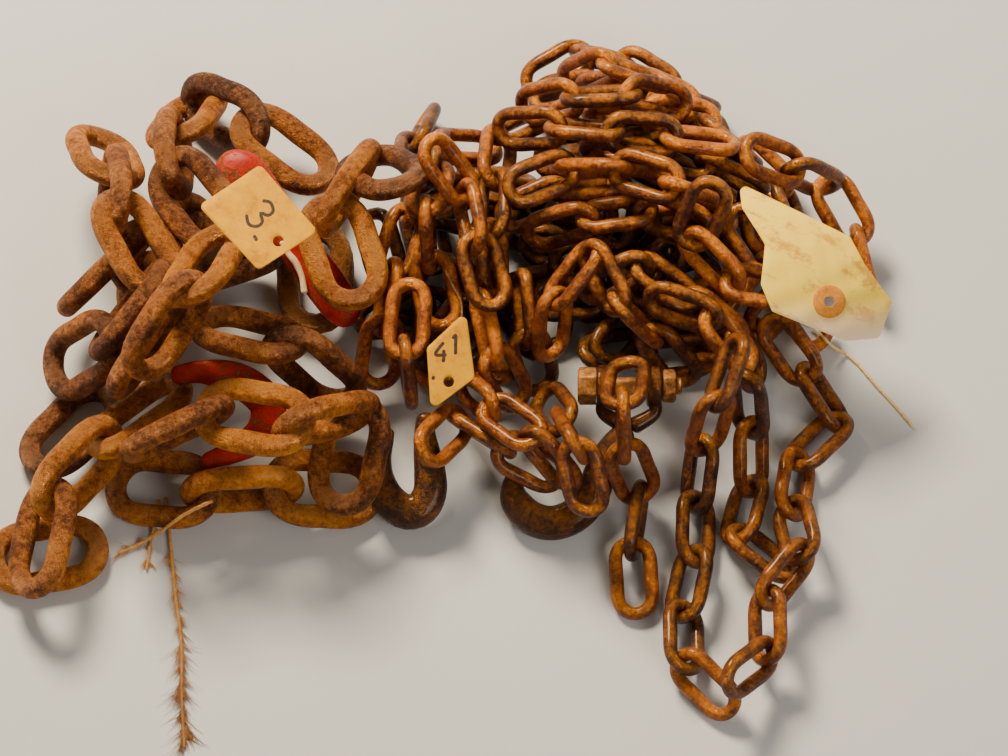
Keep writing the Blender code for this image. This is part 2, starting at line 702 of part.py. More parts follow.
def move_to_world(mesh, lift):
    """Take a mesh from the picture's axes to the world's, a given distance towards the viewer."""
    matrix = Matrix(VIEW_AXES.tolist()).to_4x4() @ Matrix.Translation((0, 0, lift))
    mesh.transform(matrix)


def solid_from_curve(name, curve_data, collection, material):
    """Turn a curve into a mesh object with its caps welded on."""
    curve = bpy.data.objects.new(name + "_curve", curve_data)
    bpy.context.scene.collection.objects.link(curve)
    bpy.context.view_layer.update()
    evaluated = curve.evaluated_get(bpy.context.evaluated_depsgraph_get())
    mesh = bpy.data.meshes.new_from_object(evaluated)
    mesh.name = name
    bpy.data.objects.remove(curve, do_unlink=True)
    shape = bmesh.new()
    shape.from_mesh(mesh)
    bmesh.ops.remove_doubles(shape, verts=shape.verts, dist=0.00001)
    bmesh.ops.recalc_face_normals(shape, faces=shape.faces)
    shape.to_mesh(mesh)
    shape.free()
    return add_object(name, mesh, collection, material)


def bar_curve(name, points, radii, sides_setting):
    """A round bar through points, each with its own radius."""
    curve = bpy.data.curves.new(name, "CURVE")
    curve.dimensions = "3D"
    curve.bevel_depth = 1.0
    curve.bevel_resolution = sides_setting
    curve.use_fill_caps = True
    spline = curve.splines.new("POLY")
    spline.points.add(len(points) - 1)
    for at, (point, radius) in enumerate(zip(points, radii)):
        spline.points[at].co = (*point, 1.0)
        spline.points[at].radius = radius
    return curve


def make_hook(name, rows, thickness, heap, parts, material):
    middle, radius, starts, ends, radii = hook_bars(rows, thickness)
    lift = rest_piece(heap, starts, ends, radii)
    hook = solid_from_curve(name, bar_curve(name, middle, radius, BAR_SIDES), parts, material)
    hook.data.transform(Matrix.Diagonal((1, 1, thickness, 1)))
    move_to_world(hook.data, lift)
    lift += heap.seat([hook.data])
    shift = np.array((0.0, 0.0, lift))
    heap.add(starts + shift, ends + shift, radii)


def bolt_cylinder(name, radius, start, stop, sides, collection, material):
    """A cylinder or prism along the picture's right, between two distances from the bolt's middle."""
    bpy.ops.mesh.primitive_cylinder_add(vertices=sides, radius=radius, depth=stop - start)
    made = bpy.context.object
    mesh = made.data
    bpy.data.objects.remove(made, do_unlink=True)
    middle = in_picture([BOLT_AT])[0]
    mesh.transform(Matrix.Translation((middle[0] + (start + stop) / 2, middle[1], 0))
                   @ Matrix.Rotation(math.pi / 2, 4, "Y"))
    return add_object(name, mesh, collection, material)


def make_clevis(heap, parts, cutters, rusty, bolt_steel):
    """The big hook with its two ears, and the bolt and nut that pass through them."""
    middle, radius, starts, ends, radii = hook_bars(CLEVIS_HOOK, RUSTY_THICKNESS)
    bolt_at = in_picture([BOLT_AT])[0]
    half_span = EAR_SPAN / 2
    ear_middles = (-half_span - EAR_WIDTH / 2, half_span + EAR_WIDTH / 2)
    yoke = [(bolt_at[0] + ear_middles[0], bolt_at[1]),
            (bolt_at[0] + ear_middles[0], bolt_at[1] - YOKE_DROP),
            tuple(middle[0, :2]),
            (bolt_at[0] + ear_middles[1], bolt_at[1] - YOKE_DROP),
            (bolt_at[0] + ear_middles[1], bolt_at[1])]
    yoke = np.array([(*point, 0.0) for point in yoke])
    outer = half_span + EAR_WIDTH
    head_stop = -outer - CLEARANCE
    nut_start = outer + CLEARANCE
    bolt_start = head_stop - BOLT_HEAD_LENGTH
    bolt_stop = nut_start + NUT_LENGTH + BOLT_END
    spans = ((bolt_start, head_stop, BOLT_HEAD_RADIUS), (-outer, -half_span, EAR_RADIUS),
             (head_stop, bolt_stop, BOLT_RADIUS), (half_span, outer, EAR_RADIUS),
             (nut_start, nut_start + NUT_LENGTH, NUT_RADIUS))
    all_starts = [starts, yoke[:-1]]
    all_ends = [ends, yoke[1:]]
    all_radii = [radii, np.full(len(yoke) - 1, YOKE_RADIUS)]
    turns = np.arange(RIM_BALLS) * 2 * math.pi / RIM_BALLS
    around = np.column_stack((np.zeros(RIM_BALLS), np.sin(turns), np.cos(turns)))
    for start, stop, size in spans:
        # Balls along the rim of each disc reach just past its edges. Each is a very short bar.
        ball = min(size, (stop - start) / 2)
        rim = np.array((bolt_at[0] + (start + stop) / 2, bolt_at[1], 0)) + (size - ball / 2) * around
        all_starts.append(rim)
        all_ends.append(rim + (BALL_LENGTH, 0, 0))
        all_radii.append(np.full(RIM_BALLS, BALL_GROWTH * ball))
    starts, ends, radii = np.vstack(all_starts), np.vstack(all_ends), np.concatenate(all_radii)
    lift = rest_piece(heap, starts, ends, radii)
    hook = solid_from_curve("clevis_hook", bar_curve("clevis_hook", middle, radius, BAR_SIDES), parts, rusty)
    hook.data.transform(Matrix.Diagonal((1, 1, RUSTY_THICKNESS, 1)))
    bow = solid_from_curve("clevis_bow", bar_curve("clevis_bow", yoke, [YOKE_RADIUS] * len(yoke), BAR_SIDES),
                           cutters, rusty)
    combine(hook, bow, "UNION")
    ears = []
    for number, at in enumerate(ear_middles):
        ear = bolt_cylinder("clevis_ear_%d" % number, EAR_RADIUS, at - EAR_WIDTH / 2, at + EAR_WIDTH / 2,
                            EAR_SIDES, cutters, rusty)
        combine(hook, ear, "UNION")
        ears.append(ear)
    bore = bolt_cylinder("clevis_bore", BOLT_RADIUS + CLEARANCE, -2 * outer, 2 * outer, BOLT_SIDES, cutters,
                         rusty)
    combine(hook, bore, "DIFFERENCE")
    bolt = bolt_cylinder("clevis_bolt", BOLT_RADIUS, head_stop - BOLT_HEAD_LENGTH / 2, bolt_stop,
                         BOLT_SIDES, parts, bolt_steel)
    head = bolt_cylinder("bolt_head", BOLT_HEAD_RADIUS, bolt_start, head_stop, HEXAGON, cutters,
                         bolt_steel)
    combine(bolt, head, "UNION")
    nut = bolt_cylinder("clevis_nut", NUT_RADIUS, nut_start, nut_start + NUT_LENGTH, HEXAGON, parts,
                        bolt_steel)
    thread = bolt_cylinder("nut_bore", BOLT_RADIUS + CLEARANCE, nut_start - NUT_LENGTH,
                           nut_start + 2 * NUT_LENGTH, BOLT_SIDES, cutters, bolt_steel)
    combine(nut, thread, "DIFFERENCE")
    outside = [solid.data for solid in [hook, bow, bolt, head, nut] + ears]
    inside = [bore.data, thread.data]
    for mesh in outside + inside:
        move_to_world(mesh, lift)
    seated = heap.seat(outside)
    for mesh in inside:
        mesh.transform(Matrix.Translation(Vector(VIEW_AXES[:, 2]) * seated))
    shift = np.array((0.0, 0.0, lift + seated))
    heap.add(starts + shift, ends + shift, radii)


def rounded_outline(corners):
    """A polygon with its corners rounded by arcs."""
    points = []
    count = len(corners)
    for at in range(count):
        corner = corners[at]
        back = unit(corners[at - 1] - corner)
        forth = unit(corners[(at + 1) % count] - corner)
        half_angle = math.acos(np.clip(back @ forth, -1, 1)) / 2
        reach = TAG_CORNER_RADIUS / math.tan(half_angle)
        middle = corner + unit(back + forth) * TAG_CORNER_RADIUS / math.sin(half_angle)
        first = corner + back * reach - middle
        last = corner + forth * reach - middle
        for step in range(CORNER_STEPS + 1):
            share = step / CORNER_STEPS
            points.append(middle + unit(first * (1 - share) + last * share) * TAG_CORNER_RADIUS)
    return np.array(points)


def circle(middle, radius):
    turns = np.arange(HOLE_STEPS) * 2 * math.pi / HOLE_STEPS
    return middle + radius * np.column_stack((np.cos(turns), np.sin(turns)))


def bend_height(points, middle, lean, bow, bow_way):
    """How far a bent tag's surface comes towards the viewer at each point."""
    away = points - middle
    along = away @ np.array((math.cos(math.radians(bow_way)), math.sin(math.radians(bow_way))))
    return away @ np.array(lean) + bow * along ** 2


def sheet_curve(name, outlines, thickness):
    """A flat sheet with its holes, as a filled curve."""
    curve = bpy.data.curves.new(name, "CURVE")
    curve.dimensions = "2D"
    curve.fill_mode = "BOTH"
    curve.extrude = thickness / 2
    for outline in outlines:
        spline = curve.splines.new("POLY")
        spline.points.add(len(outline) - 1)
        spline.use_cyclic_u = True
        for at, point in enumerate(outline):
            spline.points[at].co = (*point, 0.0, 1.0)
    return curve


def bend_mesh(mesh, middle, lean, bow, bow_way):
    """Cut a sheet into strips across its bow and bend it."""
    angle = math.radians(bow_way)
    way = Vector((math.cos(angle), math.sin(angle), 0))
    shape = bmesh.new()
    shape.from_mesh(mesh)
    along = [way.dot(vertex.co) for vertex in shape.verts]
    low, high = min(along), max(along)
    for strip in range(1, TAG_STRIPS):
        at = low + (high - low) * strip / TAG_STRIPS
        bmesh.ops.bisect_plane(shape, geom=shape.verts[:] + shape.edges[:] + shape.faces[:],
                               dist=0.000001, plane_co=way * at, plane_no=way)
    for vertex in shape.verts:
        point = np.array([vertex.co.x, vertex.co.y])
        vertex.co.z += float(bend_height(point, middle, lean, bow, bow_way))
    shape.to_mesh(mesh)
    shape.free()


def tag_bars(outline, thickness, middle, bend):
    """A tag as rings of bars, from its edge to its middle."""
    rim = np.column_stack((outline, np.zeros(len(outline))))
    centre = np.array((*middle, 0.0))
    starts = np.vstack([rim + (centre - rim) * share for share in TAG_RINGS])
    starts[:, 2] = bend_height(starts[:, :2], middle, *bend)
    ends = np.vstack([np.roll(ring, -1, axis=0) for ring in np.split(starts, len(TAG_RINGS))])
    return starts, ends, thickness / 2 + CLEARANCE


def make_tag(row, heap, parts, material):
    """A tag with its hole, lowered onto the heap with the lean that lets it lie lowest."""
    name, corners, hole_at, thickness, lean, bow, bow_way = row
    corners = in_picture(corners)
    hole_at = in_picture([hole_at])[0]
    middle = corners.mean(axis=0)
    outline = rounded_outline(corners)
    best = None
    for right in LEAN_CHANGES:
        for up in LEAN_CHANGES:
            bend = ((lean[0] + right, lean[1] + up), bow, bow_way)
            starts, ends, bar = tag_bars(outline, thickness, middle, bend)
            lift = rest_piece(heap, starts, ends, bar)
            if best is None or lift < best[0]:
                best = (lift, bend)
    lift, bend = best
    starts, ends, bar = tag_bars(outline, thickness, middle, bend)
    tag = solid_from_curve(name, sheet_curve(name, (outline, circle(hole_at, TAG_HOLE_RADIUS)), thickness),
                           parts, material)
    bend_mesh(tag.data, middle, *bend)
    move_to_world(tag.data, lift)
    lift += heap.seat([tag.data])
    shift = np.array((0.0, 0.0, lift))
    heap.add(starts + shift, ends + shift, bar)
    return middle, hole_at, lift, bend


def make_patch(row, placed, parts, material):
    """The round patch that strengthens the hole of the paper tag."""
    middle, hole_at, lift, bend = placed
    outlines = (circle(hole_at, PATCH_RADIUS), circle(hole_at, TAG_HOLE_RADIUS))
    patch = solid_from_curve("tag_patch", sheet_curve("tag_patch", outlines, PATCH_THICKNESS),
                             parts, material)
    bend_mesh(patch.data, middle, *bend)
    move_to_world(patch.data, lift + (row[3] + PATCH_THICKNESS) / 2 + CLEARANCE)


def make_cord(name, radius, route, heap, parts, material):
    points = lay_cord(heap, radius, route)
    cord = solid_from_curve(name, bar_curve(name, points, [radius] * len(points), CORD_SIDES), parts, material)
    move_to_world(cord.data, 0)
    points[:, 2] += heap.seat([cord.data])
    heap.add(points[:-1], points[1:], radius)


def flank_links(row):
    """The links of a row that goes round a dome, just inside it."""
    dome, chain, rise, roll, start, stop = row
    x, y, half_length, half_depth, height = CORE_DOMES[dome]
    inset = chain.radius + chain.ring_radius * math.sin(math.radians(45))
    foot = chain.radius + chain.ring_radius * math.sin(math.radians(45 + TWIST_PLAY))
    level = max(foot, (height - inset) * math.sin(math.radians(rise)))
    share = math.cos(math.radians(rise))
    steps = int(math.radians(stop - start) * half_length / FLANK_STEP)
    turn = np.radians(np.linspace(start, stop, steps))
    line = np.column_stack((x + (half_length - inset) * share * np.cos(turn),
                            y + (half_depth - inset) * share * np.sin(turn), np.full(steps, level)))
    return place_links(line @ VIEW_AXES, chain, roll)


def make_dome(row):
    """A flattened dome with a flat underside on the ground."""
    x, y, half_length, half_depth, height = row
    bpy.ops.mesh.primitive_uv_sphere_add(segments=CORE_SIDES, ring_count=CORE_RINGS)
    sphere = bpy.context.object
    mesh = sphere.data
    bpy.data.objects.remove(sphere, do_unlink=True)
    shape = bmesh.new()
    shape.from_mesh(mesh)
    bmesh.ops.scale(shape, vec=(half_length, half_depth, height), verts=shape.verts)
    bmesh.ops.translate(shape, vec=(x, y, 0), verts=shape.verts)
    cut = bmesh.ops.bisect_plane(shape, geom=shape.verts[:] + shape.edges[:] + shape.faces[:],
                                 plane_co=(0, 0, 0), plane_no=(0, 0, -1), clear_outer=True)
    rim = [edge for edge in cut["geom_cut"] if isinstance(edge, bmesh.types.BMEdge)]
    bmesh.ops.contextual_create(shape, geom=rim)
    bmesh.ops.recalc_face_normals(shape, faces=shape.faces)
    shape.to_mesh(mesh)
    shape.free()
    return mesh


def make_core(heap, templates, parts, cutters, material):
    """Plain domes with a common flat underside, and links half sunk in them, fused into one."""
    meshes = [make_dome(row) for row in CORE_INSIDES]
    for row in FLANK_ROWS:
        links = flank_links(row)
        for some in (links[::2], links[1::2]):
            if some:
                meshes.append(links_mesh("core_links", templates[row[1]], some, material))
    core = add_object("core", meshes[0], parts, material)
    for number, mesh in enumerate(meshes[1:]):
        combine(core, add_object("core_%d" % number, mesh, cutters, material), "UNION")
    for mesh in meshes:
        heap.add_mesh(mesh)


def main():
    clear_scene()
    parts = make_collection("steel_chain_heap")
    cutters = make_collection("cutters")
    light_steel = make_material("light_steel", (0.13, 0.06, 0.03), 0.35, 0.8)
    heavy_steel = make_material("heavy_steel", (0.25, 0.15, 0.06), 0.7, 0.4)
    red_paint = make_material("red_paint", (0.55, 0.05, 0.02), 0.5, 0.0)
    heap = Heap()
    templates = {LIGHT: link_template(LIGHT), HEAVY: link_template(HEAVY)}
    make_core(heap, templates, parts, cutters, light_steel)
    materials = {LIGHT: light_steel, HEAVY: heavy_steel}
    for strand in LOWER_STRANDS:
        make_strand(heap, strand, templates, materials, parts, cutters)
    make_hook("red_hook_upper", RED_HOOK_UPPER, RED_THICKNESS, heap, parts, red_paint)
    make_hook("red_hook_lower", RED_HOOK_LOWER, RED_THICKNESS, heap, parts, red_paint)
    make_hook("rusty_hook", RUSTY_HOOK, RUSTY_THICKNESS, heap, parts, light_steel)
    make_clevis(heap, parts, cutters, light_steel, heavy_steel)
    for strand in UPPER_STRANDS:
        make_strand(heap, strand, templates, materials, parts, cutters)
    yellow_plastic = make_material("yellow_plastic", (0.85, 0.55, 0.02), 0.4, 0.0)
    white_plastic = make_material("white_plastic", (0.8, 0.75, 0.65), 0.4, 0.0)
    paper = make_material("paper", (0.85, 0.78, 0.55), 0.9, 0.0)
    patch_card = make_material("patch_card", (0.70, 0.38, 0.12), 0.9, 0.0)
    twine = make_material("twine", (0.70, 0.55, 0.30), 0.9, 0.0)
    make_hook("plastic_tie", PLASTIC_TIE, 1.0, heap, parts, white_plastic)
    make_hook("wire_tie", WIRE_TIE, 1.0, heap, parts, twine)
    for name, radius, route in CORDS:
        make_cord(name, radius, route, heap, parts, twine)
    for row in TAGS[:2]:
        make_tag(row, heap, parts, yellow_plastic)
    placed = make_tag(TAGS[2], heap, parts, paper)
    make_patch(TAGS[2], placed, parts, patch_card)


main()
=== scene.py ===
# %% [markdown]
# # Dressing a heap of steel lifting chain
#
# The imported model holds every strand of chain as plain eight-cornered links, with its hooks, tags and
# twine as plain bars and sheets. This lesson puts rounded, rusty, oily pieces in their place, in the
# same frame and in metres. The model is loaded first, because every piece rides on its body.

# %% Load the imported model
import math

import bpy
import numpy as np
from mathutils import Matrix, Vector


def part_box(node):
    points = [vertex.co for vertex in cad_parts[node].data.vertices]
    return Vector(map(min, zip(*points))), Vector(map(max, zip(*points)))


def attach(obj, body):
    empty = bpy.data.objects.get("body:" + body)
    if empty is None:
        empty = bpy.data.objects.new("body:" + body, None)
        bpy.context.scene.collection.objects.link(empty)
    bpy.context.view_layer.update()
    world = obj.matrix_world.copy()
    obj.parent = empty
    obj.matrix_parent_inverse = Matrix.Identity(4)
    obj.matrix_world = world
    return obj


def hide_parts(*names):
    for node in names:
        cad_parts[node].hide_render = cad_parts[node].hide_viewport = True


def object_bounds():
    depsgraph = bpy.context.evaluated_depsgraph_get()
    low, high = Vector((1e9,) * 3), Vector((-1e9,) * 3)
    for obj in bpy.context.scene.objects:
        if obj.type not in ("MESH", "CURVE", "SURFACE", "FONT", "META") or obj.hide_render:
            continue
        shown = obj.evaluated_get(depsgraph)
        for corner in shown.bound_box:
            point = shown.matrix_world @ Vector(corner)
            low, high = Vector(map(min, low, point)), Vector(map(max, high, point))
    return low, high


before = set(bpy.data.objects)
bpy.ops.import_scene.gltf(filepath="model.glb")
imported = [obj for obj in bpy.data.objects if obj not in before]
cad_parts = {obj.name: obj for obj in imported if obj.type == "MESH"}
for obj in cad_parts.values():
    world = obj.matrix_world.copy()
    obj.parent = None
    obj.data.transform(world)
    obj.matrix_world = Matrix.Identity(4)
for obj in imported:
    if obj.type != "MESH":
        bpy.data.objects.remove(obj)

cad_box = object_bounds()
BODY = "root"
print("packed nodes:", len(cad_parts))

# %% [markdown]
# ## The picture and its camera
#
# The heap was laid out in the photograph, so most pieces start as points of that picture, in its
# 1008 by 756 frame. Three directions turn them into metres: right in the picture, up in the picture,
# and towards the viewer. A far camera with a long lens looks along the third one. A near camera would
# spread the top of the heap apart, and the points would no longer fall where they were read.

# %% The picture's axes
PIXELS_PER_METRE = 1750.0
PICTURE_CENTRE = (470.0, 375.0)
PICTURE_SIZE = (1008, 756)
VIEW_ELEVATION = math.radians(64.0)
SIN_VIEW = math.sin(VIEW_ELEVATION)
COS_VIEW = math.cos(VIEW_ELEVATION)
VIEW_AXES = np.array(((1.0, 0.0, 0.0), (0.0, SIN_VIEW, -COS_VIEW), (0.0, COS_VIEW, SIN_VIEW)))
UPWARDS = np.array((0.0, COS_VIEW, SIN_VIEW))


def in_picture(points):
    """Points of the photograph as metres right and up from the picture's centre."""
    points = np.asarray(points, dtype=float)
    right = (points[:, 0] - PICTURE_CENTRE[0]) / PIXELS_PER_METRE
    up = (PICTURE_CENTRE[1] - points[:, 1]) / PIXELS_PER_METRE
    return np.stack((right, up), axis=1)


def to_world(points):
    """Points given as right, up and towards the viewer, in the world's axes."""
    return points @ VIEW_AXES.T


def from_node(node):
    """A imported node's own corners, each once, as right, up and towards the viewer."""
    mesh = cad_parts[node].data
    corners = np.zeros(3 * len(mesh.vertices), np.float32)
    mesh.vertices.foreach_get("co", corners)
    return np.unique(np.round(corners.reshape(-1, 3), 6), axis=0).astype(float) @ VIEW_AXES


# %% The camera
CAMERA_AWAY = 3.0
# The layer of the heap that is seen at exactly the picture's scale.
SHARP_LAYER = 0.05
SENSOR = 36.0


def new_object(name, data):
    """An object in the scene that shows this data."""
    made = bpy.data.objects.new(name, data)
    bpy.context.scene.collection.objects.link(made)
    return made


camera_data = bpy.data.cameras.new("camera")
camera_data.sensor_width = SENSOR
camera_data.lens = SENSOR * CAMERA_AWAY * PIXELS_PER_METRE / PICTURE_SIZE[0]
camera_data.clip_end = 100
camera = new_object("camera", camera_data)
aim = in_picture([(PICTURE_SIZE[0] / 2, PICTURE_SIZE[1] / 2)])[0]
camera.location = to_world(np.array((*aim, SHARP_LAYER + CAMERA_AWAY)))
camera.rotation_euler = (math.pi / 2 - VIEW_ELEVATION, 0, 0)
bpy.context.scene.camera = camera
print("camera at", [round(x, 3) for x in camera.location], "lens", round(camera_data.lens, 1))

# %% [markdown]
# ## Surfaces from numbers
#
# A tube, a hook or a tag can be modelled by hand, with curve objects, or worked out as a grid of
# points. Here every piece is a grid: one parameter runs along it and one round it. The grid's quads
# are always the same four neighbours, so one function names them all at once. Whole arrays go into the
# mesh in one call.


# %% Grids of quads
SAMPLES_A_SPAN = 40


def grid_faces(rows, columns, close_rows=False, close_columns=True):
    """Four corner numbers for each quad between neighbouring points of a grid.

    Point (r, c) has the number r * columns + c. A closed direction joins its last line to its first.
    """
    r = np.arange(rows if close_rows else rows - 1)[:, None]
    c = np.arange(columns if close_columns else columns - 1)[None]
    down, across = (r + 1) % rows, (c + 1) % columns
    quads = np.stack((r * columns + c, r * columns + across, down * columns + across, down * columns + c),
                     axis=-1)
    return quads.reshape(-1, 4)


def end_faces(rows, columns, first=0):
    """The faces that close the first and the last ring of a grid."""
    ring = np.arange(columns)
    return [first + ring[::-1], first + (rows - 1) * columns + ring]


def repeated(faces, points_each, copies):
    """The faces of one shape, numbered on for each of its copies."""
    return (faces[None] + points_each * np.arange(copies)[:, None, None]).reshape(-1, faces.shape[1])


def way_along(points):
    """How far along a row of points each one lies."""
    return np.concatenate(([0], np.cumsum(np.linalg.norm(np.diff(points, axis=0), axis=1))))


def smooth_route(points, spacing):
    """Points at an even distance along a Catmull-Rom curve through the route's own points."""
    ends = (2 * points[0] - points[1], 2 * points[-1] - points[-2])
    control = np.vstack((ends[0], points, ends[1]))
    pieces = []
    t = np.linspace(0, 1, SAMPLES_A_SPAN, endpoint=False)[:, None]
    for a, b, c, d in zip(control, control[1:], control[2:], control[3:]):
        pieces.append(0.5 * (2 * b + (c - a) * t + (2 * a - 5 * b + 4 * c - d) * t ** 2
                             + (3 * b - a - 3 * c + d) * t ** 3))
    dense = np.vstack(pieces + [points[-1:]])
    way = way_along(dense)
    even = np.linspace(0, way[-1], max(3, int(way[-1] / spacing) + 1))
    return np.stack([np.interp(even, way, dense[:, k]) for k in range(dense.shape[1])], axis=1)


def unit(vectors):
    """Vectors with the same directions and a length of one."""
    return vectors / np.linalg.norm(vectors, axis=-1, keepdims=True)


# %% A finished piece
def make_piece(name, points, faces, finish, slot, nodes=(), caps=(), levels=0, **attributes):
    """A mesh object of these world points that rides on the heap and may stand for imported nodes."""
    mesh = bpy.data.meshes.new(name)
    mesh.from_pydata(points.tolist(), [], faces.tolist() + [list(map(int, cap)) for cap in caps])
    mesh.polygons.foreach_set("use_smooth", np.ones(len(mesh.polygons), dtype=bool))
    for key, values in attributes.items():
        layer = mesh.attributes.new(key, "FLOAT", "POINT")
        layer.data.foreach_set("value", np.ravel(values).astype(np.float32))
    mesh.materials.append(finish.material)
    mesh.update()
    piece = new_object(name, mesh)
    if levels:
        rounding = piece.modifiers.new("rounding", "SUBSURF")
        rounding.levels = levels
        rounding.render_levels = levels
    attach(piece, BODY)
    if nodes:
        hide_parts(*nodes)
    return piece


# %% [markdown]
# ## Finishes as expressions
#
# A material is a graph of nodes, and most of its nodes do arithmetic. Written out one by one they hide
# what they compute, so a small class wraps a socket and adds a Math node for each Python operator.
# Every other node comes from one method that takes its type, its settings and its sockets.


# %% Numbers on sockets
class Number:
    """An output socket that carries a number. Python's operators on it add Math nodes."""

    def __init__(self, finish, socket):
        self.finish = finish
        self.socket = socket

    def math(self, operation, *values):
        """The result of a Math node that takes these values."""
        return self.finish.number("ShaderNodeMath", {"operation": operation}, dict(enumerate(values)))

    def __add__(self, other):
        return self.math("ADD", self, other)

    def __sub__(self, other):
        return self.math("SUBTRACT", self, other)

    def __rsub__(self, other):
        return self.math("SUBTRACT", other, self)

    def __mul__(self, other):
        return self.math("MULTIPLY", self, other)

    __radd__ = __add__
    __rmul__ = __mul__

    def rising(self, low, high):
        """Nought below the low value, one above the high value, and smooth between them."""
        return self.finish.number("ShaderNodeMapRange", {"interpolation_type": "SMOOTHSTEP"},
                                  {"Value": self, "From Min": low, "From Max": high})


# %% A finish and its nodes
class Finish:
    """A material whose nodes are added by expressions."""

    def __init__(self, name, **constants):
        self.material = bpy.data.materials.new(name)
        self.material.use_nodes = True
        self.tree = self.material.node_tree
        self.shader = self.tree.nodes["Principled BSDF"]
        self.place = self.node("ShaderNodeTexCoord", {}, {}).outputs["Object"]
        for key, value in constants.items():
            self.shader.inputs[key.replace("_", " ").title().replace("Ior", "IOR")].default_value = value

    def node(self, kind, settings, sockets):
        """A new node of a kind, with its settings made first and then its sockets fed."""
        made = self.tree.nodes.new(kind)
        for key, value in settings.items():
            if key == "stops":
                elements = made.color_ramp.elements
                elements.remove(elements[-1])
                elements[0].position = value[0][0]
                elements[0].color = (*value[0][1], 1)
                for at, colour in value[1:]:
                    elements.new(at).color = (*colour, 1)
            else:
                setattr(made, key, value)
        for key, value in sockets.items():
            if isinstance(key, int):
                socket = made.inputs[key]
            else:
                socket = next(one for one in made.inputs if one.name == key and one.enabled)
            self.feed(socket, value)
        return made

    def feed(self, socket, value):
        """Link a number or a socket, or set a constant."""
        if isinstance(value, Number):
            value = value.socket
        if isinstance(value, bpy.types.NodeSocket):
            self.tree.links.new(value, socket)
        elif isinstance(value, tuple) and len(value) == 3 and socket.type == "RGBA":
            socket.default_value = (*value, 1)
        else:
            socket.default_value = value

    def number(self, kind, settings, sockets, output=0):
        """One output of a new node, as a number."""
        return Number(self, self.node(kind, settings, sockets).outputs[output])

    def noise(self, scale, detail=3.0, roughness=0.55, place=None):
        """Cloudy noise about a half, whose lumps are about 1 / scale metres across."""
        return self.number("ShaderNodeTexNoise", {}, {"Vector": place or self.place, "Scale": scale,
                                                      "Detail": detail, "Roughness": roughness})

    def attribute(self, name):
        """A number that the mesh stores at each of its points."""
        return self.number("ShaderNodeAttribute", {"attribute_name": name}, {}, "Fac")

    def coordinate(self, vector, axis):
        """One coordinate of a vector, as a number."""
        return self.number("ShaderNodeSeparateXYZ", {}, {0: vector}, axis)

    def upward(self):
        """How far a surface faces straight up, from -1 to 1."""
        return self.coordinate(self.node("ShaderNodeNewGeometry", {}, {}).outputs["Normal"], "Z")

    def ramp(self, value, *stops):
        """The colour that the stops give for a value between nought and one."""
        return self.node("ShaderNodeValToRGB", {"stops": stops}, {0: value}).outputs["Color"]

    def mix(self, share, first, second):
        """The first colour, going over to the second as the share goes to one."""
        made = self.node("ShaderNodeMix", {"data_type": "RGBA"}, {"Factor": share, "A": first, "B": second})
        return next(one for one in made.outputs if one.enabled)

    def surface(self, colour, roughness=None, metallic=None, height=None, depth=None):
        """Feed the shader. The height raises and lowers the surface by up to the depth, in metres."""
        for key, value in (("Base Color", colour), ("Roughness", roughness), ("Metallic", metallic)):
            if value is not None:
                self.feed(self.shader.inputs[key], value)
        if height is not None:
            bump = self.node("ShaderNodeBump", {}, {"Strength": 1.0, "Distance": depth, "Height": height})
            self.feed(self.shader.inputs["Normal"], bump.outputs["Normal"])
        return self


# %% [markdown]
# ## The loose cords
#
# Three ends of frayed twine and the paper tag's string lie on the heap and the floor. Their routes are
# points of the photograph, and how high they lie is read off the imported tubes. A plain tube would look
# like wire, so the cross-section is two-lobed and turns as it goes along, as two twisted plies do.
# Towards its frayed end a cord is looser and browner, and tufts of fibres stand out from it.

# %% Where the cords run
CORD_STEP = 0.006
FINE_CORD_STEP = 0.0007
# A corner belongs to a tube's ring when it lies within this many radii of the tube's middle.
RING_REACH = 1.6
# Each cord: its node, its radius, and its route in the photograph.
CORDS = (
    ("tag_string", 0.0010, ((812, 316), (835, 344), (858, 358), (884, 388), (905, 412), (918, 428))),
    ("twine_short", 0.0011, ((157, 500), (154, 520), (150, 545), (147, 570))),
    ("twine_long", 0.0011, ((164, 498), (170, 540), (176, 590), (184, 640), (186, 690), (190, 742))),
    ("twine_across", 0.0011, ((214, 500), (186, 514), (160, 532), (136, 546), (118, 553))),
)


def cord_line(node, radius, route):
    """The middle of a packed tube: at each step of the route, the mean height of its ring of corners.

    A straight stretch may have no ring at a step, and takes the height between its neighbours.
    """
    flat = smooth_route(in_picture(route), CORD_STEP)
    corners = from_node(node)
    apart = np.linalg.norm(flat[:, None] - corners[None, :, :2], axis=2)
    ring = apart < RING_REACH * radius
    found = np.nonzero(ring.any(axis=1))[0]
    heights = (ring[found] @ corners[:, 2]) / ring[found].sum(axis=1)
    towards = np.interp(np.arange(len(flat)), found, heights)
    return smooth_route(np.column_stack((flat, towards)), FINE_CORD_STEP)


cord_lines = {name: cord_line(name, radius, route) for name, radius, route in CORDS}
for name, line in cord_lines.items():
    print(name, "is", round(float(way_along(line)[-1]), 4), "m long")


# %% The look of twine
def plant_fibre(name, dark, middle, light, dirt):
    """Dry fibre of three shades with soiled patches. It is browner where the cord is frayed."""
    fibre = Finish(name, Roughness=0.85)
    strands = fibre.noise(900, 4, 0.7)
    soiled = fibre.noise(70, 3).rising(0.45, 0.7)
    straw = fibre.ramp(strands, (0.30, dark), (0.55, middle), (0.75, light))
    straw = fibre.mix(soiled * dirt, straw, (0.26, 0.11, 0.03))
    browned = fibre.attribute("frayed").rising(0.35, 0.80) * 0.72
    return fibre.surface(fibre.mix(browned, straw, (0.15, 0.055, 0.015)), height=strands, depth=0.0002)


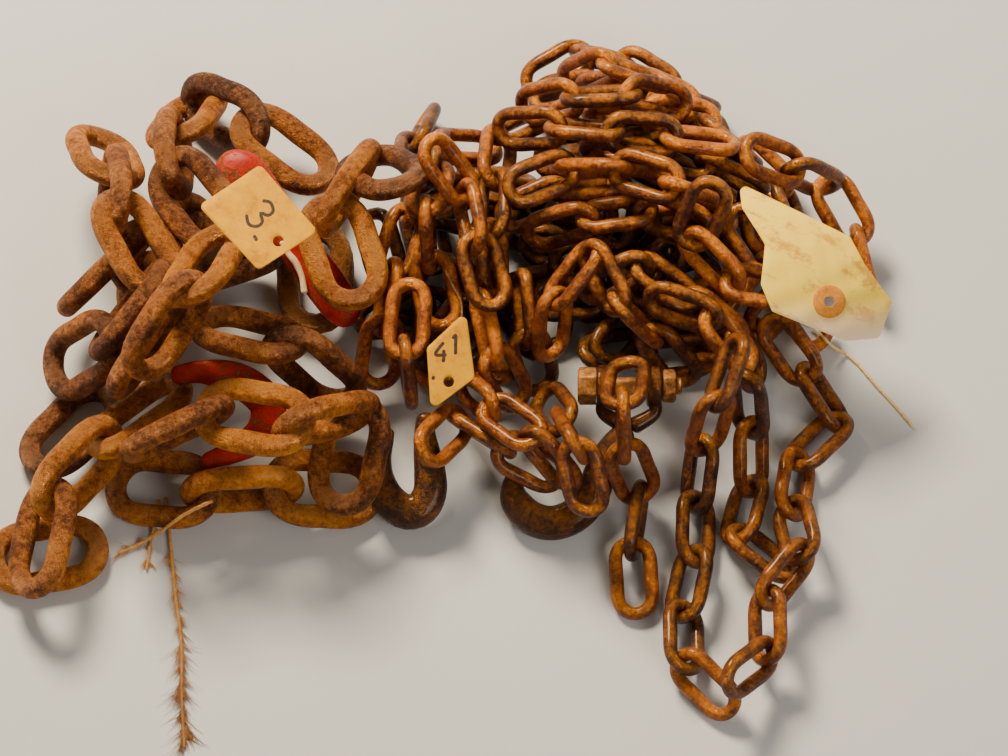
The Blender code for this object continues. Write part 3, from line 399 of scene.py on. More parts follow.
twine = plant_fibre("twine_fibre", (0.38, 0.16, 0.04), (0.70, 0.37, 0.11), (0.90, 0.60, 0.24), 0.45)
string = plant_fibre("string_fibre", (0.62, 0.40, 0.14), (0.88, 0.66, 0.28), (1.0, 0.84, 0.46), 0.15)
print("twine nodes:", len(twine.tree.nodes))

# %% Twisted cords
CORD_SIDES = 14
TURNS_PER_METRE = 170
PLY_DEPTH = 0.22
# A loosened cord swells and shrinks by up to a share of its radius, in waves along it and round it.
LOOSE_DEPTH = 0.25
LOOSE_WAVES = 900
LOOSE_LOBES = 3
END_SHARE = 0.55


def twisted_cord(line, radius, loosened):
    """Two plies twisted round a line.

    At angle a and way s the radius is the cord's own, less a share of it where a, turned back by the
    twist at s, points between the plies. Where the cord is loosened, the radius swells and shrinks.
    """
    step = np.linalg.norm(line[1] - line[0])
    way = np.arange(len(line))[:, None] * step
    angle = np.arange(CORD_SIDES)[None] * 2 * math.pi / CORD_SIDES
    lobes = np.abs(np.cos(angle - math.pi * TURNS_PER_METRE * way))
    waves = (1 + np.sin(LOOSE_WAVES * way + LOOSE_LOBES * angle)) / 2
    size = radius * (1 - PLY_DEPTH + PLY_DEPTH * lobes) * (1 - LOOSE_DEPTH * loosened[:, None] * waves)
    size[[0, -1]] *= END_SHARE
    along = unit(np.gradient(line, axis=0))
    side = unit(np.cross(along, UPWARDS))
    over = np.cross(side, along)
    ring = np.cos(angle)[..., None] * side[:, None] + np.sin(angle)[..., None] * over[:, None]
    return line[:, None] + size[..., None] * ring


# %% Fibres
FIBRE_POINTS = 6
FIBRE_SIDES = 3
FIBRE_RADIUS = 0.00019
FIBRE_TIP = 0.15
FIBRE_OVER_FLOOR = 1.5 * FIBRE_RADIUS
FIBRES_A_TUFT = 9
# How tufts lie: below one, this power crowds them towards the cord's end, and a share points left.
CROWDING = 0.8
LEFT_SHARE = 0.42
TUFT_LEAN = (2.2, 0.38)
TUFT_LENGTH = (0.25, 1.0)
# How a tuft's hairs differ: in place, lean, length and rise.
PLACE_PLAY = 0.008
LEAN_PLAY = 0.16
HAIR_LENGTH = (0.55, 1.0)
HAIR_RISE = (-0.1, 0.35)
# How a hair bends, as shares of its length. Hairs at the cord's start have a share of the length.
CURL = 0.38
DRAG = 0.35
SAG = 0.25
START_LENGTH = 0.55


def fibres(line, count, low_share, reach, random):
    """Fine hairs that leave a cord in tufts, each a bent tapering tube with three sides.

    A tuft has its place on the cord, its hand, its lean and its length, and each of its hairs differs a
    little from that. A hair goes on along the cord and outwards, curls to one side by more the further
    along it, and sinks towards the floor at its end. Returns the tubes and each hair's place.
    """
    tufts = count // FIBRES_A_TUFT
    tuft = random.integers(0, tufts, count)
    place = (low_share + (1 - low_share) * random.random(tufts) ** CROWDING)[tuft]
    place = np.clip(place + random.normal(0, PLACE_PLAY, count), low_share, 1)
    at = (place * (len(line) - 2)).astype(int)
    along = unit(line[at + 1] - line[at])
    hand = np.where(random.random(tufts) < LEFT_SHARE, -1.0, 1.0)[tuft]
    side = unit(np.cross(along, UPWARDS)) * hand[:, None]
    lean = np.abs(random.gamma(*TUFT_LEAN, tufts)[tuft] + random.normal(0, LEAN_PLAY, count))[:, None]
    outward = unit(along + lean * side + random.uniform(*HAIR_RISE, count)[:, None] * UPWARDS)
    length = reach * random.uniform(*TUFT_LENGTH, tufts)[tuft] * random.uniform(*HAIR_LENGTH, count)
    length = (length * (START_LENGTH + (1 - START_LENGTH) * place))[:, None, None]
    curl = random.normal(0, CURL, count)[:, None, None]
    share = np.linspace(0, 1, FIBRE_POINTS)[None, :, None]
    bent = DRAG * along[:, None] + curl * side[:, None] - SAG * UPWARDS
    middle = line[at][:, None] + length * (share * outward[:, None] + share ** 2 * bent)
    floor_gap = middle @ UPWARDS - FIBRE_OVER_FLOOR
    middle = middle - np.minimum(floor_gap, 0)[..., None] * UPWARDS
    way = unit(np.gradient(middle, axis=1))
    flat = unit(np.cross(way, UPWARDS))
    over = np.cross(flat, way)
    turn = np.arange(FIBRE_SIDES) * 2 * math.pi / FIBRE_SIDES
    ring = np.cos(turn)[:, None] * flat[:, :, None] + np.sin(turn)[:, None] * over[:, :, None]
    thick = FIBRE_RADIUS * (1 + FIBRE_TIP - share[..., None])
    return middle[:, :, None] + thick * ring, place


# %% Faces of the fibres, and the floor
def over_floor(points):
    """Points of a grid in the world, those under the floor raised to it."""
    world = to_world(points.reshape(-1, 3))
    world[:, 2] = np.maximum(world[:, 2], 0)
    return world


def fibre_faces(count):
    """The quads of every hair, and a triangle at each of its ends."""
    each = FIBRE_POINTS * FIBRE_SIDES
    first = np.arange(count) * each
    roots = first[:, None] + np.array((2, 1, 0))
    tips = first[:, None] + each - np.array((3, 2, 1))
    return repeated(grid_faces(FIBRE_POINTS, FIBRE_SIDES), each, count), np.vstack((roots, tips))


# %% Make the cords and their fibres
# Each cord: its finish, how many fibres it has, from which share of its length on, how far they reach,
# and how brown it grows towards its end.
FRAYING = {"tag_string": (string, 14, 0.70, 0.006, 0.0), "twine_short": (twine, 90, 0.20, 0.0085, 0.0),
           "twine_long": (twine, 900, 0.20, 0.0125, 1.0), "twine_across": (twine, 150, 0.20, 0.0095, 0.0)}
LOOSENING = 2
for seed, (name, radius, route) in enumerate(CORDS):
    line = cord_lines[name]
    finish, count, low_share, reach, brown = FRAYING[name]
    share = np.linspace(0, 1, len(line))
    points = twisted_cord(line, radius, np.clip((share - low_share) * LOOSENING, 0, 1))
    cord = make_piece(name + "_ply", over_floor(points), grid_faces(len(line), CORD_SIDES), finish, "twine",
                      [name], end_faces(len(line), CORD_SIDES), frayed=brown * np.repeat(share, CORD_SIDES))
    tubes, place = fibres(line, count, low_share, reach, np.random.default_rng(seed))
    hairs, tips = fibre_faces(count)
    fray = make_piece(name + "_fray", over_floor(tubes), hairs, finish, "twine", (), tips,
                      frayed=brown * np.repeat(place, FIBRE_POINTS * FIBRE_SIDES))
    path = to_world(line)
print("cords:", [name for name, radius, route in CORDS])

# %% [markdown]
# ## Where each link lies
#
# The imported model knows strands, not links. The part's source laid each strand down by a rule: lift it
# towards the viewer until it clears everything that was laid before. The same rule is repeated here, so
# that each rounded link lies in its plain one. The rule tries a strand with different rolls, and the
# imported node's box tells which roll was kept and how far the strand was let down at the end.

# %% The two sorts of chain
# Neighbouring links of a strand press into each other by the bite. Strands are laid a clearance apart.
BITE = 0.0004
CLEARANCE = 0.0003
LINK_STEPS = 8


class Chain:
    """The sizes of one sort of chain, and the outline of its plain link."""

    def __init__(self, wire, inner_length, inner_width):
        self.radius = wire / 2
        self.inner_length = inner_length
        self.middle_radius = (inner_width + wire) / 2
        self.ring_radius = self.middle_radius / math.cos(math.pi / LINK_STEPS)
        self.leg_shift = (inner_length + wire) / 2 - self.middle_radius
        angles = (np.arange(LINK_STEPS) + 0.5) * 2 * math.pi / LINK_STEPS
        across = self.ring_radius * np.sin(angles)
        along = self.ring_radius * np.cos(angles)
        along += self.leg_shift * np.sign(along)
        self.outline = np.stack((along, across), axis=1)
        self.pitch = inner_length + 2 * self.radius * (1 - math.cos(math.pi / LINK_STEPS)) + BITE


LIGHT = Chain(wire=0.0080, inner_length=0.0328, inner_width=0.0116)
HEAVY = Chain(wire=0.0130, inner_length=0.0455, inner_width=0.0190)
print("pitch of the light and the heavy chain:", round(LIGHT.pitch, 4), round(HEAVY.pitch, 4))

# %% The strands, in the order of laying
# Each strand: its node, its chain, the roll of its first link in degrees, and its route in the photograph.
LOWER_STRANDS = (
    ("heavy_foot", HEAVY, 45, ((125, 486), (200, 492), (275, 486), (345, 490))),
    ("heavy_ring", HEAVY, 20, ((180, 306), (152, 268), (122, 238), (90, 264), (60, 318))),
    ("heavy_end", HEAVY, 5, ((88, 548), (32, 558), (-30, 566))),
    ("heavy_drop", HEAVY, 60, ((96, 402), (60, 440), (20, 480))),
    ("heavy_tail", HEAVY, 70, ((172, 392), (122, 430), (72, 466), (50, 512), (40, 575))),
    ("rim", LIGHT, 45, ((535, 72), (550, 50), (592, 42), (634, 54), (668, 80), (702, 92))),
    ("row_b", LIGHT, 40, ((541, 86), (590, 78), (640, 77), (680, 92), (712, 112))),
    ("row_d", LIGHT, 50, ((556, 116), (600, 108), (660, 108), (715, 118), (745, 142), (765, 168))),
    ("row_f", LIGHT, 45, ((545, 152), (600, 145), (650, 148), (700, 156), (745, 172), (775, 192))),
    ("row_h", LIGHT, 45, ((508, 214), (560, 190), (612, 182), (660, 186), (720, 215))),
    ("row_j", LIGHT, 45, ((535, 232), (590, 216), (650, 208), (690, 222))),
    ("row_k", LIGHT, 45, ((590, 290), (640, 262), (690, 300), (730, 330), (760, 380))),
    ("row_l", LIGHT, 45, ((740, 215), (770, 260), (800, 310), (840, 350))),
    ("middle_a", LIGHT, 30, ((425, 108), (411, 150), (411, 205), (392, 262), (384, 320), (376, 378))),
    ("middle_b", LIGHT, 45, ((490, 142), (445, 128), (430, 180), (425, 240), (440, 300), (445, 350))),
    ("middle_c", LIGHT, 60, ((540, 112), (504, 104), (497, 160), (490, 220), (500, 268), (480, 312))),
    ("middle_e", LIGHT, 45, ((522, 280), (527, 340), (545, 400))),
    ("middle_f", LIGHT, 45, ((410, 290), (405, 350), (410, 400))),
    ("middle_g", LIGHT, 45, ((480, 300), (490, 350), (515, 395))),
)
UPPER_STRANDS = (
    ("row_a", LIGHT, 45, ((572, 74), (606, 56), (652, 66), (674, 88))),
    ("row_c", LIGHT, 45, ((528, 102), (575, 94), (620, 90), (665, 98), (705, 106))),
    ("row_e", LIGHT, 45, ((504, 126), (560, 125), (606, 130), (655, 134), (718, 140))),
    ("row_g", LIGHT, 45, ((515, 188), (560, 168), (612, 166), (660, 180), (705, 196))),
    ("shoulder", LIGHT, 45, ((752, 150), (795, 165), (835, 180), (862, 225), (878, 285))),
    ("middle_d", LIGHT, 20, ((432, 148), (462, 170), (474, 235), (488, 285))),
    ("ring", LIGHT, 20, ((712, 190), (692, 240), (662, 266), (718, 280), (775, 290))),
    ("bar", LIGHT, 45, ((655, 298), (700, 308), (738, 352))),
    ("arch", LIGHT, 90, ((550, 350), (560, 282), (602, 250), (624, 318), (668, 345), (700, 398))),
    ("hang_c", LIGHT, 45, ((745, 380), (752, 440), (752, 490), (735, 535), (775, 565))),
    ("hang_a", LIGHT, 10, ((735, 345), (712, 410), (700, 460), (695, 520), (692, 575), (674, 640),
                           (686, 666), (720, 697))),
    ("hang_b", LIGHT, 20, ((775, 325), (800, 368), (838, 395), (838, 440), (800, 460), (790, 520),
                           (800, 558), (765, 582), (760, 625), (762, 655), (725, 675))),
    ("hang_d", LIGHT, 45, ((628, 366), (618, 430), (632, 478), (648, 515), (628, 560), (636, 612))),
    ("heavy_bars", HEAVY, 20, ((400, 182), (362, 158), (325, 190), (352, 278))),
    ("heavy_crown", HEAVY, 10, ((215, 225), (165, 165), (188, 92), (262, 128), (290, 150))),
    ("heavy_left", HEAVY, 10, ((88, 135), (115, 190), (128, 262), (160, 290), (95, 350), (15, 385))),
    ("heavy_loop", HEAVY, 10, ((212, 326), (252, 346), (300, 346), (342, 378), (326, 432))),
    ("heavy_front", HEAVY, 60, ((145, 446), (205, 410), (288, 424), (358, 412), (345, 480))),
    ("heavy_leg", HEAVY, 60, ((172, 312), (146, 350), (116, 394))),
    ("heavy_mid", HEAVY, 45, ((222, 240), (190, 300), (160, 346))),
    ("hook_end_a", LIGHT, 45, ((428, 450), (476, 410), (500, 445), (546, 470))),
    ("hook_end_b", LIGHT, 45, ((462, 385), (515, 425), (556, 455), (576, 505))),
    ("hook_end_c", LIGHT, 45, ((545, 398), (574, 440), (584, 485))),
)
print("strands:", len(LOWER_STRANDS) + len(UPPER_STRANDS))

# %% The core's domes and the floor
# Each dome: its middle's x and y, its half length, its half depth and its height.
CORE_DOMES = (
    (-0.140, 0.045, 0.092, 0.092, 0.048),
    (0.002, 0.060, 0.080, 0.085, 0.046),
    (0.110, 0.080, 0.098, 0.092, 0.056),
)
ROUTE_STEP = 0.003
LIFT_STEP = 0.001
NOTHING_NEAR = -1.0


def core_shortfall(points, radius):
    """How deep points lie inside the core's domes, grown by a wire's radius."""
    world = to_world(points)
    room = radius + 2 * CLEARANCE
    deepest = np.full(len(points), NOTHING_NEAR)
    for x, y, half_length, half_depth, height in CORE_DOMES:
        away = np.sqrt(((world[:, 0] - x) / (half_length + room)) ** 2
                       + ((world[:, 1] - y) / (half_depth + room)) ** 2
                       + (world[:, 2] / (height + room)) ** 2)
        deepest = np.maximum(deepest, (1 - away) * height)
    return deepest


def ground(route, radius):
    """The least distance towards the viewer at which a wire clears floor and core."""
    on_floor = (radius - route[:, 1] * COS_VIEW) / SIN_VIEW
    highest = max(dome[-1] for dome in CORE_DOMES) / SIN_VIEW
    result = on_floor.copy()
    for lift in np.arange(0, highest + ROUTE_STEP, LIFT_STEP):
        points = np.column_stack((route, on_floor + lift))
        inside = core_shortfall(points, radius) > 0
        result = np.where(inside, on_floor + lift, result)
    return result


# %% What has been laid
SMALLEST_SQUARE = 1e-16
PARALLEL = 1e-12
BAR_SHARES = (0.0, 0.25, 0.5, 0.75, 1.0)


def segment_distances(p, p_way, q, q_way):
    """The least distance between each segment p + s * p_way and each segment q + t * q_way."""
    gap = p[:, None] - q[None]
    a = np.maximum(np.sum(p_way * p_way, axis=1), SMALLEST_SQUARE)[:, None]
    e = np.maximum(np.sum(q_way * q_way, axis=1), SMALLEST_SQUARE)[None]
    b = p_way @ q_way.T
    c = np.sum(p_way[:, None] * gap, axis=2)
    f = np.sum(q_way[None] * gap, axis=2)
    spread = a * e - b * b
    askew = spread > PARALLEL * a * e
    s = np.clip(np.where(askew, (b * f - c * e) / np.where(askew, spread, 1), 0), 0, 1)
    t = np.clip((b * s + f) / e, 0, 1)
    s = np.clip((b * t - c) / a, 0, 1)
    nearest = gap + s[..., None] * p_way[:, None] - t[..., None] * q_way[None]
    return np.linalg.norm(nearest, axis=2)


class Heap:
    """What has been laid so far, as round bars along the middle of each wire."""

    def __init__(self):
        self.starts = np.zeros((0, 3))
        self.ways = np.zeros((0, 3))
        self.radii = np.zeros(0)

    def add(self, starts, ends, radius):
        """Lay bars from starts to ends, with one radius or one for each."""
        self.starts = np.vstack((self.starts, starts))
        self.ways = np.vstack((self.ways, ends - starts))
        self.radii = np.concatenate((self.radii, np.broadcast_to(radius, len(starts))))

    def overlap(self, starts, ends, radius):
        """How much the bars given lack of their clearance to the heap's bars."""
        corners = np.vstack((starts, ends))
        low, high = corners.min(axis=0), corners.max(axis=0)
        reach = radius + CLEARANCE
        far = self.starts + self.ways
        above = np.all(np.maximum(self.starts, far) > low - reach - self.radii[:, None], axis=1)
        below = np.all(np.minimum(self.starts, far) < high + reach + self.radii[:, None], axis=1)
        near = above & below
        if not near.any():
            return NOTHING_NEAR
        apart = segment_distances(starts, ends - starts, self.starts[near], self.ways[near])
        return np.max(radius + self.radii[near][None] + CLEARANCE - apart)

    def shortfall(self, starts, ends, radius):
        """How much the bars given lack of their clearance to the heap, floor and core."""
        along = np.vstack([starts + share * (ends - starts) for share in BAR_SHARES])
        worst = max(self.overlap(starts, ends, radius), np.max(radius - along @ UPWARDS))
        return max(worst, np.max(core_shortfall(along, radius)))

    def top(self, route, reach):
        """How far towards the viewer the heap comes at each point of a route."""
        tops = np.full(len(route), NOTHING_NEAR)
        if not len(self.starts):
            return tops
        for share in BAR_SHARES:
            points = self.starts + share * self.ways
            sideways = np.linalg.norm(route[:, None] - points[None, :, :2], axis=2)
            under = np.where(sideways < reach, points[None, :, 2], NOTHING_NEAR)
            tops = np.maximum(tops, np.max(under, axis=1))
        return tops


# %% Lay one strand
STEEPEST = 1.2
# Links turn by 90 degrees from one to the next, give or take this play, which comes and goes.
TWIST_PLAY = 9.0
TWIST_RATE = 2.3
# A route runs on past its end by a share of a link, and rests on what lies this near beside it.
RUN_ON = 0.4
BESIDE = 0.003
LIFT_SHARE = 0.6
SMALLEST_LIFT = 0.0004
MOST_LIFTS = 200


def limit_slope(rise, run):
    """Raise a row of heights until none climbs faster than the steepest slope."""
    rise = rise.copy()
    for k in range(1, len(rise)):
        rise[k] = max(rise[k], rise[k - 1] - STEEPEST * run)
    for k in range(len(rise) - 2, -1, -1):
        rise[k] = max(rise[k], rise[k + 1] - STEEPEST * run)
    return rise


def place_links(curve, chain, roll):
    """Step along a curve, a link at a time: each link's middle, axis and width direction."""
    joint = curve[0]
    at = 0
    links = []
    while True:
        away = np.linalg.norm(curve[at:] - joint, axis=1)
        beyond = np.nonzero(away >= chain.pitch)[0]
        if not len(beyond):
            return links
        at += int(beyond[0])
        axis = unit(curve[at] - joint)
        level = unit(np.cross(UPWARDS, axis))
        steep = np.cross(axis, level)
        turn = math.radians(roll + 90 * len(links) + TWIST_PLAY * math.sin(TWIST_RATE * len(links) + roll))
        across = math.cos(turn) * level + math.sin(turn) * steep
        links.append((joint + axis * chain.pitch / 2, axis, across))
        joint = joint + axis * chain.pitch


def link_bars(chain, link):
    """The ends of the straight bars that make up a plain link."""
    middle, axis, across = link
    corners = middle + chain.outline[:, :1] * axis + chain.outline[:, 1:] * across
    return corners, np.roll(corners, -1, axis=0)


def lay_strand(heap, chain, roll, route):
    """Lift a strand off what lies below it, and return its links."""
    flat = smooth_route(in_picture(route), ROUTE_STEP)
    run = np.linalg.norm(flat[1] - flat[0])
    onward = unit(flat[-1] - flat[-2]) * run
    spare = int(RUN_ON * chain.inner_length / run)
    flat = np.vstack((flat, flat[-1] + onward * np.arange(1, spare + 1)[:, None]))
    towards = np.maximum(ground(flat, chain.radius), heap.top(flat, chain.radius + BESIDE))
    for attempt in range(MOST_LIFTS):
        height = limit_slope(flat[:, 1] * COS_VIEW + towards * SIN_VIEW, run)
        towards = (height - flat[:, 1] * COS_VIEW) / SIN_VIEW
        curve = np.column_stack((flat, towards))
        links = place_links(curve, chain, roll)
        lack = [heap.shortfall(*link_bars(chain, link), chain.radius) for link in links]
        if max(lack) <= 0:
            break
        for link, missing in zip(links, lack):
            if missing > 0:
                along = np.abs((curve - link[0]) @ link[1])
                under = along < chain.inner_length / 2 + chain.radius
                near = np.linalg.norm(curve - link[0], axis=1) < chain.inner_length
                lift = max(LIFT_SHARE * missing, SMALLEST_LIFT)
                towards = np.where(under & near, towards + lift, towards)
    return links


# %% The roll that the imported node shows
# The rolls that are tried besides a strand's own, in degrees.
ROLL_CHANGES = (0, -36, -18, 18, 36)
WIRE_SIDES = 6


def plain_corners(chain, links):
    """The corners of the plain links in the world: six round the wire at each of eight places."""
    turns = (np.arange(LINK_STEPS) + 0.5) * 2 * math.pi / LINK_STEPS
    sides = np.arange(WIRE_SIDES) * 2 * math.pi / WIRE_SIDES
    reach = chain.ring_radius + chain.radius * np.cos(sides)[None]
    along = reach * np.cos(turns)[:, None]
    along = along + chain.leg_shift * np.sign(along)
    across = reach * np.sin(turns)[:, None]
    over = chain.radius * np.sin(sides)[None] * np.ones((LINK_STEPS, 1))
    middle, axis, side = (np.array(part)[:, None, None] for part in zip(*links))
    normal = np.cross(axis, side)
    return to_world((middle + along[..., None] * axis + across[..., None] * side
                     + over[..., None] * normal).reshape(-1, 3))


def settle_strand(heap, name, chain, roll, route):
    """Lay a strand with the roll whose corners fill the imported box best, and lower it as that says."""
    low, high = (np.array(corner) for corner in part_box(name))
    best = (math.inf, None, None)
    for change in ROLL_CHANGES:
        links = lay_strand(heap, chain, roll + change, route)
        corners = plain_corners(chain, links)
        lift = (high[2] - corners[:, 2].max()) / SIN_VIEW
        corners = corners + lift * VIEW_AXES[:, 2]
        miss = max(np.abs(corners.min(axis=0) - low).max(), np.abs(corners.max(axis=0) - high).max())
        if miss < best[0]:
            best = (miss, lift, links)
        if miss < CLEARANCE:
            break
    miss, lift, links = best
    shift = np.array((0.0, 0.0, lift))
    links = [(middle + shift, axis, across) for middle, axis, across in links]
    for link in links:
        heap.add(*link_bars(chain, link), chain.radius)
    return links, miss


# %% Lay the lower strands
heap = Heap()
placed = {}
misses = {}
for name, chain, roll, route in LOWER_STRANDS:
    placed[name], misses[name] = settle_strand(heap, name, chain, roll, route)
print("links in the lower strands:", sum(map(len, placed.values())),
      "furthest from its box, mm:", round(1000 * max(misses.values()), 3))

# %% [markdown]
# ## Hooks on the lower strands
#
# Four hooks lie on the first layer. Each is a bar that swells and tapers along its route, and it lies
# flat in the picture, so the middle of its packed box gives its height. The upper strands were laid over
# them, so the rule needs them as bars too.

# %% The hooks' routes
# Each point is a place in the photograph, and the hook's half width there, in its pixels too.
RUSTY_HOOK = ((426, 412, 9), (425, 432, 10.5), (427, 452, 13.5), (430, 472, 16), (430, 492, 17),
              (421, 508, 18), (404, 511, 18), (388, 498, 17), (379, 478, 15.5), (380, 458, 12),
              (386, 441, 8), (390, 428, 5))
CLEVIS_HOOK = ((630, 428, 12), (612, 448, 14), (600, 472, 16), (592, 496, 17), (575, 515, 17.5),
               (552, 523, 17.5), (530, 517, 17), (515, 500, 15), (513, 482, 10), (518, 468, 6))
RED_HOOK_UPPER = ((222, 150, 17), (236, 172, 27), (262, 206, 26), (294, 244, 20), (322, 282, 21),
                  (340, 308, 19), (347, 326, 12))
RED_HOOK_LOWER = ((172, 376, 9), (205, 372, 12), (240, 380, 17), (268, 404, 18), (263, 432, 17),
                  (232, 452, 12), (203, 462, 7))
RUSTY_THICKNESS = 0.8
RED_THICKNESS = 0.5
HOOK_STEPS = 16


def bar_route(rows, spacing=ROUTE_STEP):
    """A smooth route of places right and up, with the radius there, all in metres."""
    rows = np.array(rows, dtype=float)
    return smooth_route(np.column_stack((in_picture(rows[:, :2]), rows[:, 2] / PIXELS_PER_METRE)), spacing)


def node_height(name):
    """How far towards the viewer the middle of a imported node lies."""
    towards = from_node(name)[:, 2]
    return (towards.min() + towards.max()) / 2


def hook_bars(rows, thickness):
    """A hook as three rows of bars side by side, as thick as the hook is."""
    dense = bar_route(rows)
    even = dense[np.linspace(0, len(dense) - 1, HOOK_STEPS).round().astype(int)]
    middle = np.column_stack((even[:, :2], np.zeros(len(even))))
    way = unit(np.gradient(even[:, :2], axis=0))
    sideways = np.column_stack((-way[:, 1], way[:, 0], np.zeros(len(even))))
    radius = even[:, 2]
    lines = [middle + side * sideways * (radius * (1 - thickness))[:, None] for side in (-1, 0, 1)]
    return (middle, np.vstack([line[:-1] for line in lines]), np.vstack([line[1:] for line in lines]),
            np.tile(np.maximum(radius[:-1], radius[1:]) * thickness, 3))


# %% The clevis and its bolt
BOLT_AT = (629, 386)
BOLT_RADIUS = 0.0050
BOLT_HEAD_RADIUS = 0.0108
BOLT_HEAD_LENGTH = 0.0105
BOLT_END = 0.0035
NUT_RADIUS = 0.0095
NUT_LENGTH = 0.0080
EAR_RADIUS = 0.0120
EAR_WIDTH = 0.0085
EAR_SPAN = 0.0200
RIM_BALLS = 16
# The fork's arms start this many ear radii under the bolt, and are a little thinner than the ears.
FORK_DROP = 1.3
FORK_SHARE = 0.94
BALL_LENGTH = 0.0002
BALL_SWELL = 1.15

bolt_at = in_picture([BOLT_AT])[0]
ear_outer = EAR_SPAN / 2 + EAR_WIDTH
head_stop = -ear_outer - CLEARANCE
nut_start = ear_outer + CLEARANCE
bolt_start = head_stop - BOLT_HEAD_LENGTH
nut_stop = nut_start + NUT_LENGTH
bolt_stop = nut_stop + BOLT_END
ear_middles = (-(EAR_SPAN + EAR_WIDTH) / 2, (EAR_SPAN + EAR_WIDTH) / 2)
yoke_radius = EAR_WIDTH / 2 * FORK_SHARE
fork_bottom = bolt_at[1] - EAR_RADIUS * FORK_DROP


def clevis_bars():
    """The clevis hook, its yoke, and balls round the rims of its ears, bolt, head and nut."""
    middle, starts, ends, radii = hook_bars(CLEVIS_HOOK, RUSTY_THICKNESS)
    left, right = (bolt_at[0] + ear for ear in ear_middles)
    yoke = np.array(((left, bolt_at[1], 0), (left, fork_bottom, 0), (middle[0, 0], middle[0, 1], 0),
                     (right, fork_bottom, 0), (right, bolt_at[1], 0)))
    turns = np.arange(RIM_BALLS) * 2 * math.pi / RIM_BALLS
    around = np.column_stack((np.zeros(RIM_BALLS), np.sin(turns), np.cos(turns)))
    spans = ((bolt_start, head_stop, BOLT_HEAD_RADIUS), (-ear_outer, -EAR_SPAN / 2, EAR_RADIUS),
             (head_stop, bolt_stop, BOLT_RADIUS), (EAR_SPAN / 2, ear_outer, EAR_RADIUS),
             (nut_start, nut_stop, NUT_RADIUS))
    all_starts, all_ends = [starts, yoke[:-1]], [ends, yoke[1:]]
    all_radii = [radii, np.full(len(yoke) - 1, yoke_radius)]
    for start, stop, size in spans:
        ball = min(size, (stop - start) / 2)
        rim = np.array((bolt_at[0] + (start + stop) / 2, bolt_at[1], 0)) + (size - ball / 2) * around
        all_starts.append(rim)
        all_ends.append(rim + (BALL_LENGTH, 0, 0))
        all_radii.append(np.full(RIM_BALLS, BALL_SWELL * ball))
    return np.vstack(all_starts), np.vstack(all_ends), np.concatenate(all_radii)


print("the bolt's length, mm:", round(1000 * (bolt_stop - bolt_start), 1))

# %% Lay the hooks and the upper strands
PLAIN_HOOKS = (("red_hook_upper", RED_HOOK_UPPER, RED_THICKNESS),
               ("red_hook_lower", RED_HOOK_LOWER, RED_THICKNESS),
               ("rusty_hook", RUSTY_HOOK, RUSTY_THICKNESS))
hook_bar_sets = {name: hook_bars(rows, thickness)[1:] for name, rows, thickness in PLAIN_HOOKS}
hook_bar_sets["clevis_hook"] = clevis_bars()
hook_heights = {name: node_height(name) for name in hook_bar_sets}
for name, (starts, ends, radii) in hook_bar_sets.items():
    shift = np.array((0.0, 0.0, hook_heights[name]))
    heap.add(starts + shift, ends + shift, radii)
for name, chain, roll, route in UPPER_STRANDS:
    placed[name], misses[name] = settle_strand(heap, name, chain, roll, route)
print("links in all:", sum(map(len, placed.values())), "furthest from its box, mm:",
      {name: round(1000 * miss, 2) for name, miss in misses.items() if miss > CLEARANCE})

# %% [markdown]
# ## The finish of the two chains
#
# The light chain is oily: a dark red-brown skin that shines, with orange rust where it is rubbed, and the
# same orange on sides that face up as a painted highlight. The heavy chain is dry: granular ochre rust,
# with a greyer, smoother skin where links rub each other, and more of that grey on top as a painted
# highlight. One noise sets where rust is thick, a finer one gives the grain, and each link has a tone of
# its own, so that no two neighbours look cast from one mould.


# %% Oily brown steel
def dimmed(colour, brightness):
    """A colour made darker, with the same hue."""
    return tuple(part * brightness for part in colour)


def oily_steel(name, depth_of_tone, brightness=1.0):
    """Dark oily steel. The tone shifts each link as a whole, worn crowns shine, and up-facing sides get a
    painted highlight. A brightness under one is painted shade.
    """
    steel = Finish(name, Coat_Weight=0.24, Coat_Roughness=0.16, Specular_IOR_Level=0.5)
    tone = steel.attribute("tone")
    crown = steel.attribute("crown")
    patches = steel.noise(85, 4, 0.6)
    flakes = steel.noise(380, 5, 0.7)
    grain = steel.noise(1400, 3, 0.6)
    rust = patches * 0.38 + flakes * 0.36 + tone * depth_of_tone + grain * 0.23
    stops = ((0.44, (0.028, 0.006, 0.001)), (0.54, (0.115, 0.023, 0.002)),
             (0.63, (0.340, 0.080, 0.004)), (0.76, (0.760, 0.230, 0.010)))
    colour = steel.ramp(rust, *[(at, dimmed(colour, brightness)) for at, colour in stops])
    # Rubbed rust from patches, flakes and worn crowns, plus a painted highlight on sides that face up.
    wear_and_top_highlight = (steel.upward() * 0.35 + patches * 0.45 + flakes * 0.40 + crown * 0.12).rising(0.62, 0.94)
    colour = steel.mix(wear_and_top_highlight * 0.55, colour, dimmed((0.95, 0.36, 0.026), brightness))
    pits = steel.noise(230, 6, 0.72)
    roughness = 0.18 + flakes * 0.32 - wear_and_top_highlight * 0.06
    height = pits * 0.42 + flakes * 0.36 + grain * 0.22
    return steel.surface(colour, roughness, 0.50 + wear_and_top_highlight * 0.40, height=height, depth=0.0030)


light_steel = oily_steel("oily_brown_steel", 0.18)
# Darker copies of the oily finish are painted shade: one for the strands at the front, one for the hooks.
shaded_front_steel = oily_steel("oily_steel_front_painted_shade", 0.16, 0.75)
shaded_hook_steel = oily_steel("oily_steel_hook_painted_shade", 0.05, 0.50)
print("oily steel nodes:", len(light_steel.tree.nodes))


